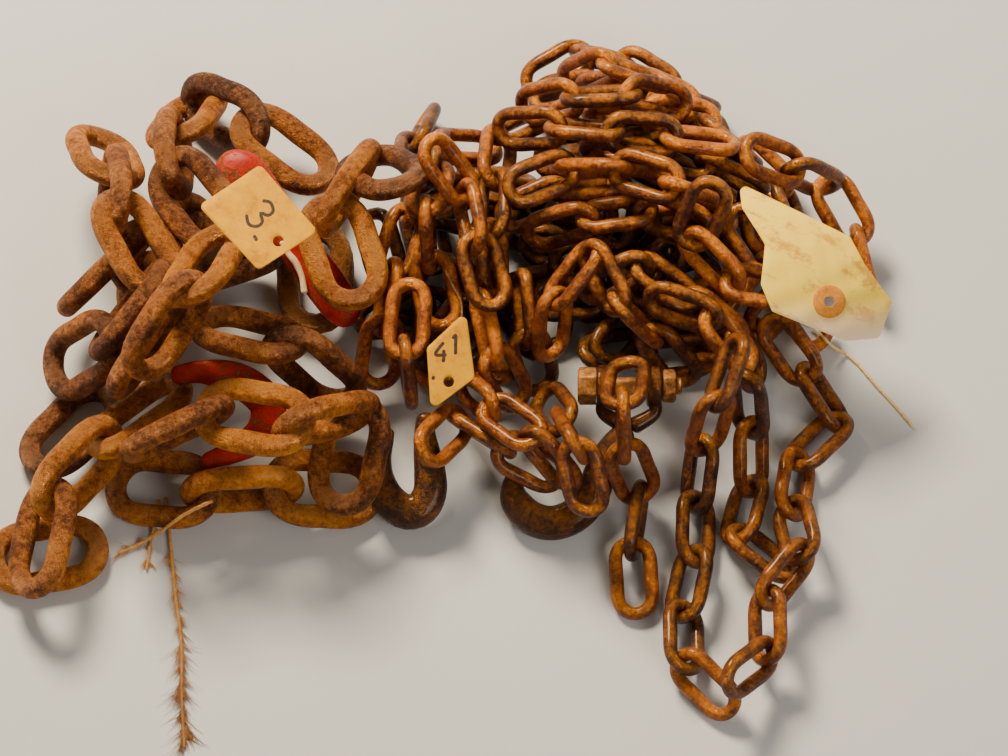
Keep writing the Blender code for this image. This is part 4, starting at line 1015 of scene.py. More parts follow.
# %% Dry ochre rust
def dry_rust(name, brightness=1.0):
    """Granular ochre rust, greyer and smoother where links have rubbed. Top sides get more of that grey as
    a painted highlight, and a brightness under one is painted shade.
    """
    steel = Finish(name, Specular_IOR_Level=0.5)
    tone = steel.attribute("tone")
    crown = steel.attribute("crown")
    patches = steel.noise(38, 4, 0.6)
    blotches = steel.noise(260, 5, 0.72)
    grain = steel.noise(1500, 3, 0.7)
    rust = patches * 0.38 + blotches * 0.42 + tone * 0.14 + grain * 0.32
    stops = ((0.50, (0.036, 0.008, 0.001)), (0.59, (0.190, 0.050, 0.003)),
             (0.68, (0.520, 0.165, 0.006)), (0.80, (0.920, 0.380, 0.018)))
    ochre = steel.ramp(rust, *[(at, dimmed(colour, brightness)) for at, colour in stops])
    # Rubbed grey from blotches, patches and worn crowns, plus a painted highlight on top sides.
    wear_and_top_highlight = (steel.upward() * 0.32 + blotches * 0.70 + patches * 0.45 + crown * 0.16).rising(0.80, 1.06)
    colour = steel.mix(wear_and_top_highlight * 0.48, ochre, dimmed((0.460, 0.250, 0.140), brightness))
    flecks = steel.noise(620, 4, 0.75)
    roughness = 0.44 - wear_and_top_highlight * 0.24 + flecks * 0.26
    height = blotches * 0.40 + flecks * 0.38 + grain * 0.22
    return steel.surface(colour, roughness, 0.30 + wear_and_top_highlight * 0.40, height=height, depth=0.0062)


heavy_steel = dry_rust("dry_ochre_rust")
SKINS = {LIGHT: (light_steel, "light_steel"), HEAVY: (heavy_steel, "heavy_steel")}
print("dry rust nodes:", len(heavy_steel.tree.nodes))

# %% [markdown]
# ## One link, rounded
#
# A link could be a bent torus with many faces, but there are over two hundred of them. It is cheaper to
# give each one a cage of 12 rings with 6 points, and to let a Subdivision Surface modifier round it. The
# modifier pulls a cage inwards, so the cage is solved for: each ring of the smooth link is a sixth of
# the ring before, four sixths of its own ring and a sixth of the next, and those equations are turned
# round. One leg swells a little in its middle, where the link was closed by a weld.

# %% The cage of a link
RINGS = 12
AROUND = 6
CAGE_POINTS = RINGS * AROUND
# A ring of six points comes out at five sixths of its radius.
SIX_POINT_SHRINK = 5 / 6
WELD_RING = 5
WELD_SWELL = 0.04


def link_cage(chain):
    """The cage of one link: rings along it, points round the wire, and right, across and over.

    The middle line is two half circles joined by straight legs. The wire's circle at each ring stands
    across that line. Both crowns are worn inside by as much as neighbours would else miss each other.
    """
    turn = np.radians((-90, -45, 0, 45, 90))
    ray = np.stack((np.cos(turn), np.sin(turn)), axis=1)
    crown = chain.middle_radius * ray + (chain.leg_shift, 0)
    middle = np.vstack((crown, ((0, chain.middle_radius),), -crown, ((0, -chain.middle_radius),)))
    outward = np.vstack((ray, ((0, 1),), -ray, ((0, -1),)))
    worn = np.concatenate((np.cos(turn) ** 2, (0,), np.cos(turn) ** 2, (0,)))
    wear = (chain.pitch - chain.inner_length) / 4
    middle = middle + wear * worn[:, None] * outward
    thick = chain.radius - wear * worn
    thick[WELD_RING] *= 1 + WELD_SWELL
    side = np.arange(AROUND) * 2 * math.pi / AROUND
    wanted = np.zeros((RINGS, AROUND, 3))
    grown = thick[:, None] / SIX_POINT_SHRINK
    wanted[..., :2] = middle[:, None] + grown[..., None] * np.cos(side)[None, :, None] * outward[:, None]
    wanted[..., 2] = grown * np.sin(side)
    ring = np.eye(RINGS)
    blend = (4 * ring + np.roll(ring, 1, axis=0) + np.roll(ring, -1, axis=0)) / 6
    return np.linalg.solve(blend, wanted.reshape(RINGS, -1)).reshape(CAGE_POINTS, 3), worn


cages = {chain: link_cage(chain) for chain in (LIGHT, HEAVY)}
link_quads = grid_faces(RINGS, AROUND, close_rows=True)
print("faces in a link's cage:", len(link_quads))


# %% A strand of links
# How often a cage is divided: that of a link in a strand or a flank, and that of a hidden link.
SEEN_LEVELS = 2
HIDDEN_LEVELS = 1


def links_surface(cage, links):
    """A strand's links in the world, each the same cage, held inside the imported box."""
    middle, axis, across = (np.array(part)[:, None] for part in zip(*links))
    normal = np.cross(axis, across)
    points = middle + cage[:, :1] * axis + cage[:, 1:2] * across + cage[:, 2:] * normal
    return np.clip(to_world(points.reshape(-1, 3)), *cad_box)


def make_links(name, chain, links, finish, slot, nodes, levels, random):
    """One piece of joined links, with a tone for each link and a mark on its crowns."""
    count = len(links)
    cage, worn = cages[chain]
    return make_piece(name, links_surface(cage, links), repeated(link_quads, CAGE_POINTS, count), finish,
                      slot, nodes, levels=levels, tone=np.repeat(random.random(count), CAGE_POINTS),
                      crown=np.tile(np.repeat(worn, AROUND), count))


# The strands at the front take the darker copy of the oily finish, as painted shade.
FRONT_STRANDS = ("hang_a", "hang_b", "hang_c", "hang_d", "hook_end_a", "hook_end_b", "hook_end_c")
tones = np.random.default_rng(7)
for name, chain, roll, route in LOWER_STRANDS + UPPER_STRANDS:
    finish, slot = SKINS[chain]
    if name in FRONT_STRANDS:
        finish = shaded_front_steel
    make_links(name + "_links", chain, placed[name], finish, slot, [name], SEEN_LEVELS, tones)
print("strands made:", len(placed))

# %% [markdown]
# ## Links on the heap's flanks and inside it
#
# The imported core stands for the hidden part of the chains: plain domes with rows of links half sunk in
# their flanks. The flank rows are repeated here by the rule of the part's source. The plain domes give
# way to loose links, because between the strands one has to see more links and then darkness. Links
# are tossed in place by place, and one stays where it finds room between the strands.

# %% Rows on the flanks
# Each row: its dome and its chain, then, in degrees, how far up the dome it lies, its roll, and where
# round the dome it starts and stops.
FLANK_ROWS = (
    (0, HEAVY, 45, 45, 60, 250),
    (0, HEAVY, 70, 45, 40, 260),
    (1, LIGHT, 22, 45, 62, 138),
    (1, LIGHT, 48, 45, 55, 145),
    (1, LIGHT, 22, 45, 225, 305),
    (2, LIGHT, 17, 49, -95, 128),
    (2, LIGHT, 46, 50, -80, 130),
)
FLANK_STEP = 0.001
# A link that is rolled by this reaches as far into the dome as out of it.
HALF_ROLL = 45


def flank_links(row):
    """The links of a row that goes round a dome, just inside it."""
    dome, chain, rise, roll, start, stop = row
    x, y, half_length, half_depth, height = CORE_DOMES[dome]
    inset = chain.radius + chain.ring_radius * math.sin(math.radians(HALF_ROLL))
    foot = chain.radius + chain.ring_radius * math.sin(math.radians(HALF_ROLL + TWIST_PLAY))
    level = max(foot, (height - inset) * math.sin(math.radians(rise)))
    share = math.cos(math.radians(rise))
    steps = int(math.radians(stop - start) * half_length / FLANK_STEP)
    turn = np.radians(np.linspace(start, stop, steps))
    line = np.column_stack((x + (half_length - inset) * share * np.cos(turn),
                            y + (half_depth - inset) * share * np.sin(turn), np.full(steps, level)))
    return place_links(line @ VIEW_AXES, chain, roll)


flank_random = np.random.default_rng(11)
flanks = Heap()
for number, row in enumerate(FLANK_ROWS):
    chain = row[1]
    links = flank_links(row)
    make_links("core_flank_%d" % number, chain, links, *SKINS[chain], ["core"], SEEN_LEVELS, flank_random)
    for link in links:
        flanks.add(*link_bars(chain, link), chain.radius)
print("rows on the flanks:", len(FLANK_ROWS))

# %% Loose links inside
# The domes in which links are tossed, a little smaller than the core's own.
CORE_INSIDES = (
    (-0.132, 0.045, 0.072, 0.064, 0.040),
    (0.002, 0.060, 0.074, 0.073, 0.040),
    (0.110, 0.080, 0.086, 0.080, 0.050),
)
TRIES = 14
BITE_INTO_STRANDS = 0.0010
BITE_INTO_HIDDEN = 0.0030
MOST_TILT = 0.35
# The grid of places, in shares of a link's pitch, of the gap between places, and of the wire's radius.
PLACE_GAP = 0.62
LAYER_GAP = 0.45
ROW_GAP = 0.8
PLACE_SHIFT = 0.2
LOWEST_PLACE = 1.6


def tossed_link(middle, random):
    """A link at a place, with its axis nearly level and any way round."""
    heading = random.uniform(0, 2 * math.pi)
    axis = unit(np.array((math.cos(heading), math.sin(heading), random.uniform(-MOST_TILT, MOST_TILT))))
    level = unit(np.cross((0, 0, 1), axis))
    turn = random.uniform(0, math.pi)
    across = math.cos(turn) * level + math.sin(turn) * np.cross(axis, level)
    return tuple(part @ VIEW_AXES for part in (middle, axis, across))


def fill_dome(dome, chain, strands, hidden, random):
    """Toss links into a dome, place by place, and keep each that finds room.

    The places are a grid, each shifted a little by chance. A link stays on or over the floor, presses
    at most a millimetre into the strands, and deeper into other hidden links, where nobody sees it.
    """
    x, y, half_length, half_depth, height = dome
    gap = PLACE_GAP * chain.pitch
    kept = []
    for level in np.arange(chain.radius * LOWEST_PLACE, height, LAYER_GAP * chain.pitch):
        for row_y in np.arange(y - half_depth, y + half_depth, ROW_GAP * gap):
            for row_x in np.arange(x - half_length, x + half_length, gap):
                middle = (row_x, row_y, level) + random.uniform(-PLACE_SHIFT, PLACE_SHIFT, 3) * gap
                out = ((middle[0] - x) / half_length, (middle[1] - y) / half_depth, middle[2] / height)
                if np.linalg.norm(out) > 1:
                    continue
                for attempt in range(TRIES):
                    link = tossed_link(middle, random)
                    starts, ends = link_bars(chain, link)
                    if np.min(starts @ UPWARDS) < chain.radius:
                        continue
                    if strands.overlap(starts, ends, chain.radius) > BITE_INTO_STRANDS:
                        continue
                    if hidden.overlap(starts, ends, chain.radius) < BITE_INTO_HIDDEN:
                        kept.append(link)
                        hidden.add(starts, ends, chain.radius)
                        break
    return kept


tossing = np.random.default_rng(5)
# The hidden links take darker copies of both finishes: painted shade for the depth of the heap.
deep_shaded_rust = dry_rust("ochre_rust_painted_shade", 0.45)
deep_shaded_steel = oily_steel("brown_steel_painted_shade", 0.05, 0.45)
LIGHT_FILLING = (LIGHT, deep_shaded_steel, "light_steel")
FILLINGS = ((HEAVY, deep_shaded_rust, "heavy_steel"), LIGHT_FILLING, LIGHT_FILLING)
for number, (dome, (chain, finish, slot)) in enumerate(zip(CORE_INSIDES, FILLINGS)):
    links = fill_dome(dome, chain, heap, flanks, tossing)
    make_links("core_inside_%d" % number, chain, links, finish, slot, ["core"], HIDDEN_LEVELS, tossing)
    print("links inside dome", number, ":", len(links))

# %% [markdown]
# ## The hooks
#
# A forged hook is a bar that swells round its bend and tapers to a rounded point. Its surface is a ring
# carried along its route: half the hook's width to either side, and less towards the viewer, because a
# hook is flatter than it is wide. The ends are drawn in as a quarter circle draws in.

# %% A bar of changing width
BAR_AROUND = 20
FINE_STEP = 0.001
# An end is rounded over this share of the radius there. Its last ring stands a sliver of that inside
# the end, because it has to have a size.
END_LENGTH = 0.8
END_SLIVER = 0.02


def bar_surface(dense, thickness, height, stations, flatness=2.4):
    """A closed bar along a route of right, up and radius.

    Stations crowd towards the ends. The ring at each is a superellipse: a half width of the radius, a
    half thickness of that times the thickness. Within a share of a radius of an end the ring shrinks
    as a quarter circle does. The height is a number, or a function of the places.
    """
    way = way_along(dense[:, :2])
    share = (1 - np.cos(np.linspace(0, math.pi, stations))) / 2
    at = share * way[-1]
    even = np.stack([np.interp(at, way, dense[:, k]) for k in range(3)], axis=1)
    radius = even[:, 2]
    from_end = np.minimum(at, way[-1] - at) / (END_LENGTH * radius)
    shrink = np.sqrt(1 - (1 - np.clip(from_end, END_SLIVER, 1)) ** 2)
    along = unit(np.gradient(even[:, :2], at, axis=0))
    sideways = np.column_stack((-along[:, 1], along[:, 0]))
    angle = np.arange(BAR_AROUND) * 2 * math.pi / BAR_AROUND
    square = np.abs(np.cos(angle)) ** flatness + np.abs(np.sin(angle)) ** flatness
    wide = np.cos(angle) * square ** (-1 / flatness)
    thick = np.sin(angle) * square ** (-1 / flatness)
    points = np.zeros((stations, BAR_AROUND, 3))
    size = (radius * shrink)[:, None]
    points[..., :2] = even[:, None, :2] + (size * wide)[..., None] * sideways[:, None]
    base = height(points[..., :2]) if callable(height) else height
    points[..., 2] = base + size * thickness * thick
    return points


# %% Worn red paint
red_paint = Finish("worn_red_paint", Specular_IOR_Level=0.30)
patches = red_paint.noise(60, 4, 0.65)
chips = red_paint.noise(330, 5, 0.7)
grain = red_paint.noise(1300, 3, 0.6)
bare = (patches * 0.50 + chips * 0.60).rising(0.570, 0.625)
paint = red_paint.ramp(patches * 0.6 + grain * 0.4, (0.38, (0.20, 0.006, 0.0)), (0.54, (0.48, 0.012, 0.0)),
                       (0.70, (0.70, 0.040, 0.003)))
rust = red_paint.ramp(chips, (0.4, (0.070, 0.026, 0.010)), (0.7, (0.26, 0.115, 0.035)))
red_paint.surface(red_paint.mix(bare, paint, rust), 0.42 + bare * 0.35 + grain * 0.08,
                  height=(1 - bare) * 0.8 + chips * 0.4, depth=0.0004)
print("red paint nodes:", len(red_paint.tree.nodes))

# %% The red hooks and the rusty hook
HOOK_STATIONS = 64
HOOK_TONE = 0.35
for name, rows, thickness in PLAIN_HOOKS:
    # The rusty hook takes the darker oily finish, as painted shade.
    finish, slot = (shaded_hook_steel, "light_steel") if name == "rusty_hook" else (red_paint, "red_paint")
    points = bar_surface(bar_route(rows, FINE_STEP), thickness, hook_heights[name], HOOK_STATIONS)
    points = to_world(points.reshape(-1, 3))
    make_piece(name + "_forging", points, grid_faces(HOOK_STATIONS, BAR_AROUND), finish, slot, [name],
               end_faces(HOOK_STATIONS, BAR_AROUND), tone=np.full(len(points), HOOK_TONE),
               crown=np.zeros(len(points)))
print("hooks made:", len(PLAIN_HOOKS))

# %% [markdown]
# ## The clevis, its bolt and its nut
#
# The big hook ends in a fork whose two round ears a bolt passes through. Ears, bolt head, nut and shank
# are all turned about one line, so each is a profile of places along that line and radii. A hexagon is
# such a profile too: its radius rises towards its six corners, and a cone cuts the corners off.

# %% Turned and six-sided shapes
TURNED_SIDES = 72
THREAD_PITCH = 0.0016


def turned(profile, hexagon=None, thread=0.0):
    """Rings about the bolt's line, one for each place and radius of the profile.

    A hexagon is given by how far its corners are from that line. The radius at an angle is then the
    flat's distance over the cosine of the angle from that flat's middle, but never more than the
    profile's. A thread raises and lowers it by a wave that turns with the place along the line.
    """
    place, radius = np.array(profile, dtype=float).T
    angle = np.arange(TURNED_SIDES)[None] * 2 * math.pi / TURNED_SIDES
    size = np.repeat(radius[:, None], TURNED_SIDES, axis=1)
    if hexagon is not None:
        flat = hexagon * math.cos(math.pi / 6)
        from_flat = (angle + math.pi / 6) % (math.pi / 3) - math.pi / 6
        size = np.minimum(size, flat / np.cos(from_flat))
    size = size + thread * np.sin(2 * math.pi * place[:, None] / THREAD_PITCH - angle)
    points = np.zeros((len(place), TURNED_SIDES, 3))
    points[..., 0] = bolt_at[0] + place[:, None]
    points[..., 1] = bolt_at[1] + size * np.sin(angle)
    points[..., 2] = hook_heights["clevis_hook"] + size * np.cos(angle)
    return points


def joined(shapes):
    """Several grids of rings as one list of points and faces, each with its ends closed or joined."""
    points, faces, caps = [], [], []
    first = 0
    for grid, closed in shapes:
        rows, columns = grid.shape[:2]
        points.append(grid.reshape(-1, 3))
        faces.append(first + grid_faces(rows, columns, close_rows=closed))
        if not closed:
            caps += end_faces(rows, columns, first)
        first += rows * columns
    return np.vstack(points), np.vstack(faces), caps


# %% The clevis hook with its ears
ROUNDING = 0.0016
ROUNDING_STEPS = 5
# An arm ends inside its ear, this many ear radii under the bolt. Its radii go from its start to there.
ARM_END = 0.6
ARM_RADII = (EAR_WIDTH * 0.62, yoke_radius, yoke_radius * 0.98)
ARM_STATIONS = 24
CLEVIS_TONE = 0.45
bore = BOLT_RADIUS + CLEARANCE


def ear_profile(start, stop):
    """A disc with rounded rims and a bore for the bolt, as a closed profile."""
    corner = np.radians(np.linspace(0, 90, ROUNDING_STEPS))
    inward = ROUNDING * (1 - np.sin(corner))
    rim = EAR_RADIUS - ROUNDING * (1 - np.cos(corner))
    left = list(zip(start + inward, rim))[::-1]
    right = list(zip(stop - inward, rim))
    return [(start, bore)] + left + right + [(stop, bore)]


def fork_arm(start, across):
    """One arm of the fork: a bent bar from the hook's top to the ear at a place along the bolt."""
    rows = np.zeros((3, 3))
    rows[:, 0] = (start[0], across, across)
    rows[:, 1] = (start[1], fork_bottom, bolt_at[1] - ARM_END * EAR_RADIUS)
    rows[:, 2] = ARM_RADII
    return smooth_route(rows, FINE_STEP)


clevis_height = hook_heights["clevis_hook"]
hook_route = bar_route(CLEVIS_HOOK, FINE_STEP)
shapes = [(bar_surface(hook_route, RUSTY_THICKNESS, clevis_height, HOOK_STATIONS), False)]
for at in ear_middles:
    arm = fork_arm(hook_route[0, :2], bolt_at[0] + at)
    shapes.append((bar_surface(arm, 1.0, clevis_height, ARM_STATIONS), False))
    shapes.append((turned(ear_profile(at - EAR_WIDTH / 2, at + EAR_WIDTH / 2)), True))
print("shells in the clevis hook:", len(shapes))
points, faces, caps = joined(shapes)
# The clevis hook takes the darker oily finish too, as painted shade.
make_piece("clevis_hook_forging", over_floor(points), faces, shaded_hook_steel, "light_steel", ["clevis_hook"],
           caps, tone=np.full(len(points), CLEVIS_TONE), crown=np.zeros(len(points)))

# %% Rusty bolt steel
bolt_steel = Finish("rusty_bolt_steel", Specular_IOR_Level=0.5)
patches = bolt_steel.noise(170, 4, 0.6)
grain = bolt_steel.noise(1200, 4, 0.65)
brown = bolt_steel.ramp(patches * 0.6 + grain * 0.4, (0.38, (0.090, 0.030, 0.006)),
                        (0.52, (0.36, 0.145, 0.030)), (0.66, (0.66, 0.36, 0.13)))
bolt_steel.surface(brown, 0.42 + grain * 0.3, 0.55, height=grain * 0.6 + patches * 0.4, depth=0.0003)
print("bolt steel nodes:", len(bolt_steel.tree.nodes))

# %% The bolt and its nut
# A cone cuts a hexagon's corners off: how far along the bolt it reaches, and where it starts and the
# head's flat face ends, as shares of the flats' distance from the bolt's line.
HEX_CHAMFER = 0.0012
CHAMFER_SHARE = 0.96
FACE_SHARE = 0.90
# The head's face stands proud of the cone by its rise. The head's inner rim is drawn in a little, over
# the rim's length.
FACE_RISE = 0.0001
RIM_LENGTH = 0.0002
RIM_SHARE = 0.985
SHANK_STEPS = 12
SHANK_IN_HEAD = 0.002
THREAD_STEP = 0.0003
THREAD_DEPTH = 0.00022
THREAD_INSET = 0.00025
# The thread stops the tip's length before the bolt's end. Then the tip is drawn in: how far before the
# end, and by how much.
TIP_LENGTH = 0.0008
TIP_BEVELS = ((0.0004, 0.0006), (0.0, 0.0014))
BORE_BEVEL = 0.0006
head_flat = BOLT_HEAD_RADIUS * math.cos(math.pi / 6)
nut_flat = NUT_RADIUS * math.cos(math.pi / 6)
head = [(bolt_start, head_flat * FACE_SHARE), (bolt_start + FACE_RISE, head_flat * CHAMFER_SHARE),
        (bolt_start + HEX_CHAMFER, BOLT_HEAD_RADIUS), (head_stop - RIM_LENGTH, BOLT_HEAD_RADIUS),
        (head_stop, BOLT_HEAD_RADIUS * RIM_SHARE)]
shank = [(head_stop - SHANK_IN_HEAD, BOLT_RADIUS)]
shank += [(at, BOLT_RADIUS) for at in np.linspace(head_stop, nut_start, SHANK_STEPS)]
threaded = np.arange(nut_start, bolt_stop - TIP_LENGTH, THREAD_STEP)
tip = [(at, BOLT_RADIUS - THREAD_INSET) for at in threaded]
tip += [(bolt_stop - before, BOLT_RADIUS - inset) for before, inset in TIP_BEVELS]
points, faces, caps = joined([(turned(head, BOLT_HEAD_RADIUS), False), (turned(shank), False),
                              (turned(tip, thread=THREAD_DEPTH), False)])
make_piece("clevis_bolt_turning", to_world(points), faces, bolt_steel, "heavy_steel", ["clevis_bolt"], caps)
nut_edge = nut_flat * CHAMFER_SHARE
nut = [(nut_start, bore), (nut_start, nut_edge), (nut_start + HEX_CHAMFER, NUT_RADIUS),
       (nut_stop - HEX_CHAMFER, NUT_RADIUS), (nut_stop, nut_edge), (nut_stop, bore + BORE_BEVEL),
       (nut_stop - BORE_BEVEL, bore)]
points, faces, caps = joined([(turned(nut, NUT_RADIUS), True)])
make_piece("clevis_nut_turning", to_world(points), faces, bolt_steel, "heavy_steel", ["clevis_nut"], caps)
print("bolt and nut made")

# %% [markdown]
# ## Tags
#
# Two yellow plastic tags and a paper one lie on top. A tag is flat stock with a hole, gently bent, so it
# is a grid too: lines run from the hole's rim to the outer edge, over it, and back underneath. How much
# it leans was chosen when it was laid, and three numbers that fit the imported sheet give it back.

# %% The tags' outlines
# Each tag: its outline and its hole in the photograph, its thickness, and the strength and way of its bow.
TAGS = {
    "yellow_tag_upper": (((202, 208), (262, 166), (320, 233), (262, 272)), (281, 243), 0.0012, 1.5, 50),
    "yellow_tag_lower": (((466, 311), (475, 378), (431, 411), (427, 348)), (449, 382), 0.0012, -5.0, 20),
    "paper_tag": (((740, 182), (850, 237), (864, 264), (892, 302), (880, 338), (845, 341), (803, 325),
                   (770, 312), (759, 285), (764, 245), (742, 208)), (828, 302), 0.0008, -6.0, -70),
}
TAG_CORNER_RADIUS = 0.0032
TAG_HOLE_RADIUS = 0.0030
CORNER_STEPS = 6
EDGE_STEP = 0.0022


def rounded_outline(corners):
    """A polygon with arcs at its corners, and points a little apart along its sides."""
    arcs = []
    for at in range(len(corners)):
        corner = corners[at]
        back = unit(corners[at - 1] - corner)
        forth = unit(corners[(at + 1) % len(corners)] - corner)
        half_angle = math.acos(np.clip(back @ forth, -1, 1)) / 2
        reach = TAG_CORNER_RADIUS / math.tan(half_angle)
        middle = corner + unit(back + forth) * TAG_CORNER_RADIUS / math.sin(half_angle)
        share = np.linspace(0, 1, CORNER_STEPS + 1)[:, None]
        ray = (corner + back * reach - middle) * (1 - share) + (corner + forth * reach - middle) * share
        arcs.append(middle + unit(ray) * TAG_CORNER_RADIUS)
    points = []
    for arc, following in zip(arcs, arcs[1:] + arcs[:1]):
        points.append(arc)
        side = following[0] - arc[-1]
        steps = int(np.linalg.norm(side) / EDGE_STEP)
        points.append(arc[-1] + side * (np.arange(1, steps) / max(steps, 1))[:, None])
    return np.vstack(points)


# %% How a tag is bent
# Where the rows between a hole's rim and an edge start and stop, as shares of the way, and how thick the
# sheet is at its very edges, as a share of its thickness.
ROWS_SPAN = (0.08, 0.985)
EDGE_SHARE = 0.45


class Bend:
    """The height of a tag's middle surface: a lean right and up, and a bow along one way."""

    def __init__(self, node, middle, bow, bow_way):
        self.middle = middle
        self.bow = bow
        self.way = np.array((math.cos(math.radians(bow_way)), math.sin(math.radians(bow_way))))
        corners = from_node(node)
        away = corners[:, :2] - middle
        known = corners[:, 2] - bow * (away @ self.way) ** 2
        self.terms = np.linalg.lstsq(np.column_stack((away, np.ones(len(away)))), known, rcond=None)[0]

    def __call__(self, places):
        away = places - self.middle
        return away @ self.terms[:2] + self.terms[2] + self.bow * (away @ self.way) ** 2


def sheet_surface(rim, hole_at, thickness, bend, wrinkle=None, strips=9, edge=0.0003):
    """A sheet with a hole, closed round its edges.

    A line runs from the hole's rim straight out to each point of the edge. The rows of the grid go out
    along it on top, round the edge, back underneath and up through the hole.
    """
    away = rim - hole_at
    span = np.linalg.norm(away, axis=1, keepdims=True)
    inner = TAG_HOLE_RADIUS / span
    share = np.concatenate(((0.0, 0.0), np.linspace(*ROWS_SPAN, strips), (1.0,)))
    share = np.concatenate((share, share[::-1]))
    count = len(share) // 2
    side = np.ones(len(share))
    side[count:] = -1
    side[[0, count - 1, count, -1]] *= EDGE_SHARE
    out = inner[None] + (1 - inner[None]) * share[:, None, None]
    # The rows next to an edge keep the edge's width from it, so that it is softly rounded.
    out[[1, -2]] = inner + edge / span
    out[[count - 2, count + 1]] = 1 - edge / span
    flat = hole_at + out * away[None]
    points = np.zeros((*flat.shape[:2], 3))
    points[..., :2] = flat
    points[..., 2] = bend(flat) + side[:, None] * thickness / 2
    if wrinkle is not None:
        points[..., 2] += wrinkle(flat)
    return points


# %% Yellow plastic
SKIN_RELIEF = 0.00012
yellow_plastic = Finish("yellow_tag_plastic", Specular_IOR_Level=0.15)
dirt = yellow_plastic.noise(95, 5, 0.7)
scuffs = yellow_plastic.noise(650, 4, 0.7)
soiled = (dirt * 0.75 + scuffs * 0.25).rising(0.50, 0.68)
yellow = yellow_plastic.ramp(dirt, (0.35, (0.76, 0.40, 0.0)), (0.7, (0.64, 0.28, 0.0)))
yellow_plastic.surface(yellow_plastic.mix(soiled * 0.50, yellow, (0.36, 0.13, 0.004)),
                       0.50 + scuffs * 0.25, height=scuffs, depth=SKIN_RELIEF)
print("yellow plastic nodes:", len(yellow_plastic.tree.nodes))

# %% Stained paper
# The smears run along the tag, so their noise is drawn out that way. A change of light is painted on
# the sheet: yellow over most of it, paler towards its lower edge.
SMEAR_TURN = math.radians(-28)
PAINTED_LIGHT_EDGE = (0.020, 0.046)
paper = Finish("stained_paper", Roughness=0.9, Specular_IOR_Level=0.2)
fibre = paper.noise(1100, 4, 0.7)
spots = paper.noise(260, 4, 0.7)
drawn_out = paper.node("ShaderNodeMapping", {"vector_type": "TEXTURE"},
                       {"Vector": paper.place, "Rotation": (0, 0, SMEAR_TURN), "Scale": (3.5, 1, 1)})
stained = (paper.noise(85, 4, 0.6, drawn_out.outputs["Vector"]) * 0.80 + spots * 0.30).rising(0.57, 0.70)
picture_up = paper.coordinate(paper.place, "Y") * SIN_VIEW + paper.coordinate(paper.place, "Z") * COS_VIEW
# The share of painted yellow light, rising upwards from the sheet's lower edge.
yellow_light_share = picture_up.rising(*PAINTED_LIGHT_EDGE)
pale = paper.ramp(fibre, (0.3, (0.98, 0.72, 0.48)), (0.7, (1.0, 0.82, 0.62)))
yellow = paper.ramp(fibre, (0.3, (0.98, 0.68, 0.05)), (0.7, (1.0, 0.78, 0.10)))
sheet = paper.mix(yellow_light_share, pale, yellow)
smeared = paper.mix(stained * yellow_light_share * 0.66, sheet, (0.50, 0.17, 0.02))
paper.surface(smeared, height=fibre * 0.5 + spots * 0.5, depth=SKIN_RELIEF)
print("paper nodes:", len(paper.tree.nodes))


# %% The tags
# Each wave of the paper: its height in metres, and how fast it turns to the right and upwards.
PAPER_WAVES = ((0.00040, 190, 120), (0.00030, -150, 330), (0.00020, 520, 90))


def creases(flat):
    """Shallow folds of the paper: waves that cross it, each less than half a millimetre high."""
    return sum(height * np.sin(rightward * flat[..., 0] + upward * flat[..., 1])
               for height, rightward, upward in PAPER_WAVES)


bends = {}
for name, (corners, hole_at, thickness, bow, bow_way) in TAGS.items():
    corners = in_picture(corners)
    hole = in_picture([hole_at])[0]
    bends[name] = Bend(name, corners.mean(axis=0), bow, bow_way)
    is_paper = name == "paper_tag"
    grid = sheet_surface(rounded_outline(corners), hole, thickness, bends[name],
                         creases if is_paper else None)
    points, faces, caps = joined([(grid, True)])
    make_piece(name + "_sheet", to_world(points), faces, paper if is_paper else yellow_plastic,
               "paper" if is_paper else "yellow_plastic", [name])
print("tags made:", list(bends))

# %% The paper tag's round patch
PATCH_RADIUS = 0.0095
PATCH_THICKNESS = 0.0004
PATCH_SIDES = 48
PATCH_STRIPS = 4
PATCH_EDGE = 0.00012
patch_card = Finish("patch_card", Roughness=0.85)
card = patch_card.noise(500, 4, 0.7)
orange = patch_card.ramp(card, (0.3, (0.56, 0.19, 0.015)), (0.7, (0.80, 0.32, 0.03)))
patch_card.surface(orange, height=card, depth=SKIN_RELIEF)
hole_at, paper_thickness = TAGS["paper_tag"][1:3]
patch_middle = in_picture([hole_at])[0]
turns = np.arange(PATCH_SIDES) * 2 * math.pi / PATCH_SIDES
patch_rim = patch_middle + PATCH_RADIUS * np.column_stack((np.cos(turns), np.sin(turns)))
grid = sheet_surface(patch_rim, patch_middle, PATCH_THICKNESS, bends["paper_tag"], creases, PATCH_STRIPS,
                     PATCH_EDGE)
grid[..., 2] += (paper_thickness + PATCH_THICKNESS) / 2 + CLEARANCE / 2
points, faces, caps = joined([(grid, True)])
make_piece("tag_patch_disc", to_world(points), faces, patch_card, "patch_card", ["tag_patch"])
print("patch made")

# %% [markdown]
# ## Numbers on the tags
#
# Each yellow tag bears a number in thick ink. Plain digits of another value stand there, as strokes: a
# flat bar along a short route, which follows the tag's bend and stands a hair proud of it.

# %% Ink strokes
# Half a stroke's width in the photograph's pixels, and its half thickness as a share of that.
INK_WIDTH = 1.7
INK_THICKNESS = 0.06
INK_STEP = 0.0008
INK_STATIONS = 40
ink = Finish("marker_ink", Roughness=0.5)
worn_ink = ink.noise(700, 4, 0.7)
ink.surface(ink.ramp(worn_ink, (0.35, (0.012, 0.009, 0.008)), (0.75, (0.10, 0.055, 0.03))))
# Each digit's strokes, as places right of its middle and up from it.
DIGITS = {
    "3": (((-8, 9), (-2, 13), (5, 10), (5, 4), (-1, 1), (6, -3), (6, -9), (0, -13), (-8, -9)),),
    "1": (((-3, 8), (1, 13), (1, 0), (1, -13)),),
    "4": (((4, 13), (-7, -3), (8, -4)), ((4, 3), (4, -8), (3, -14))),
    "-": (((-4, 0), (0, 1), (4, 0)),),
}


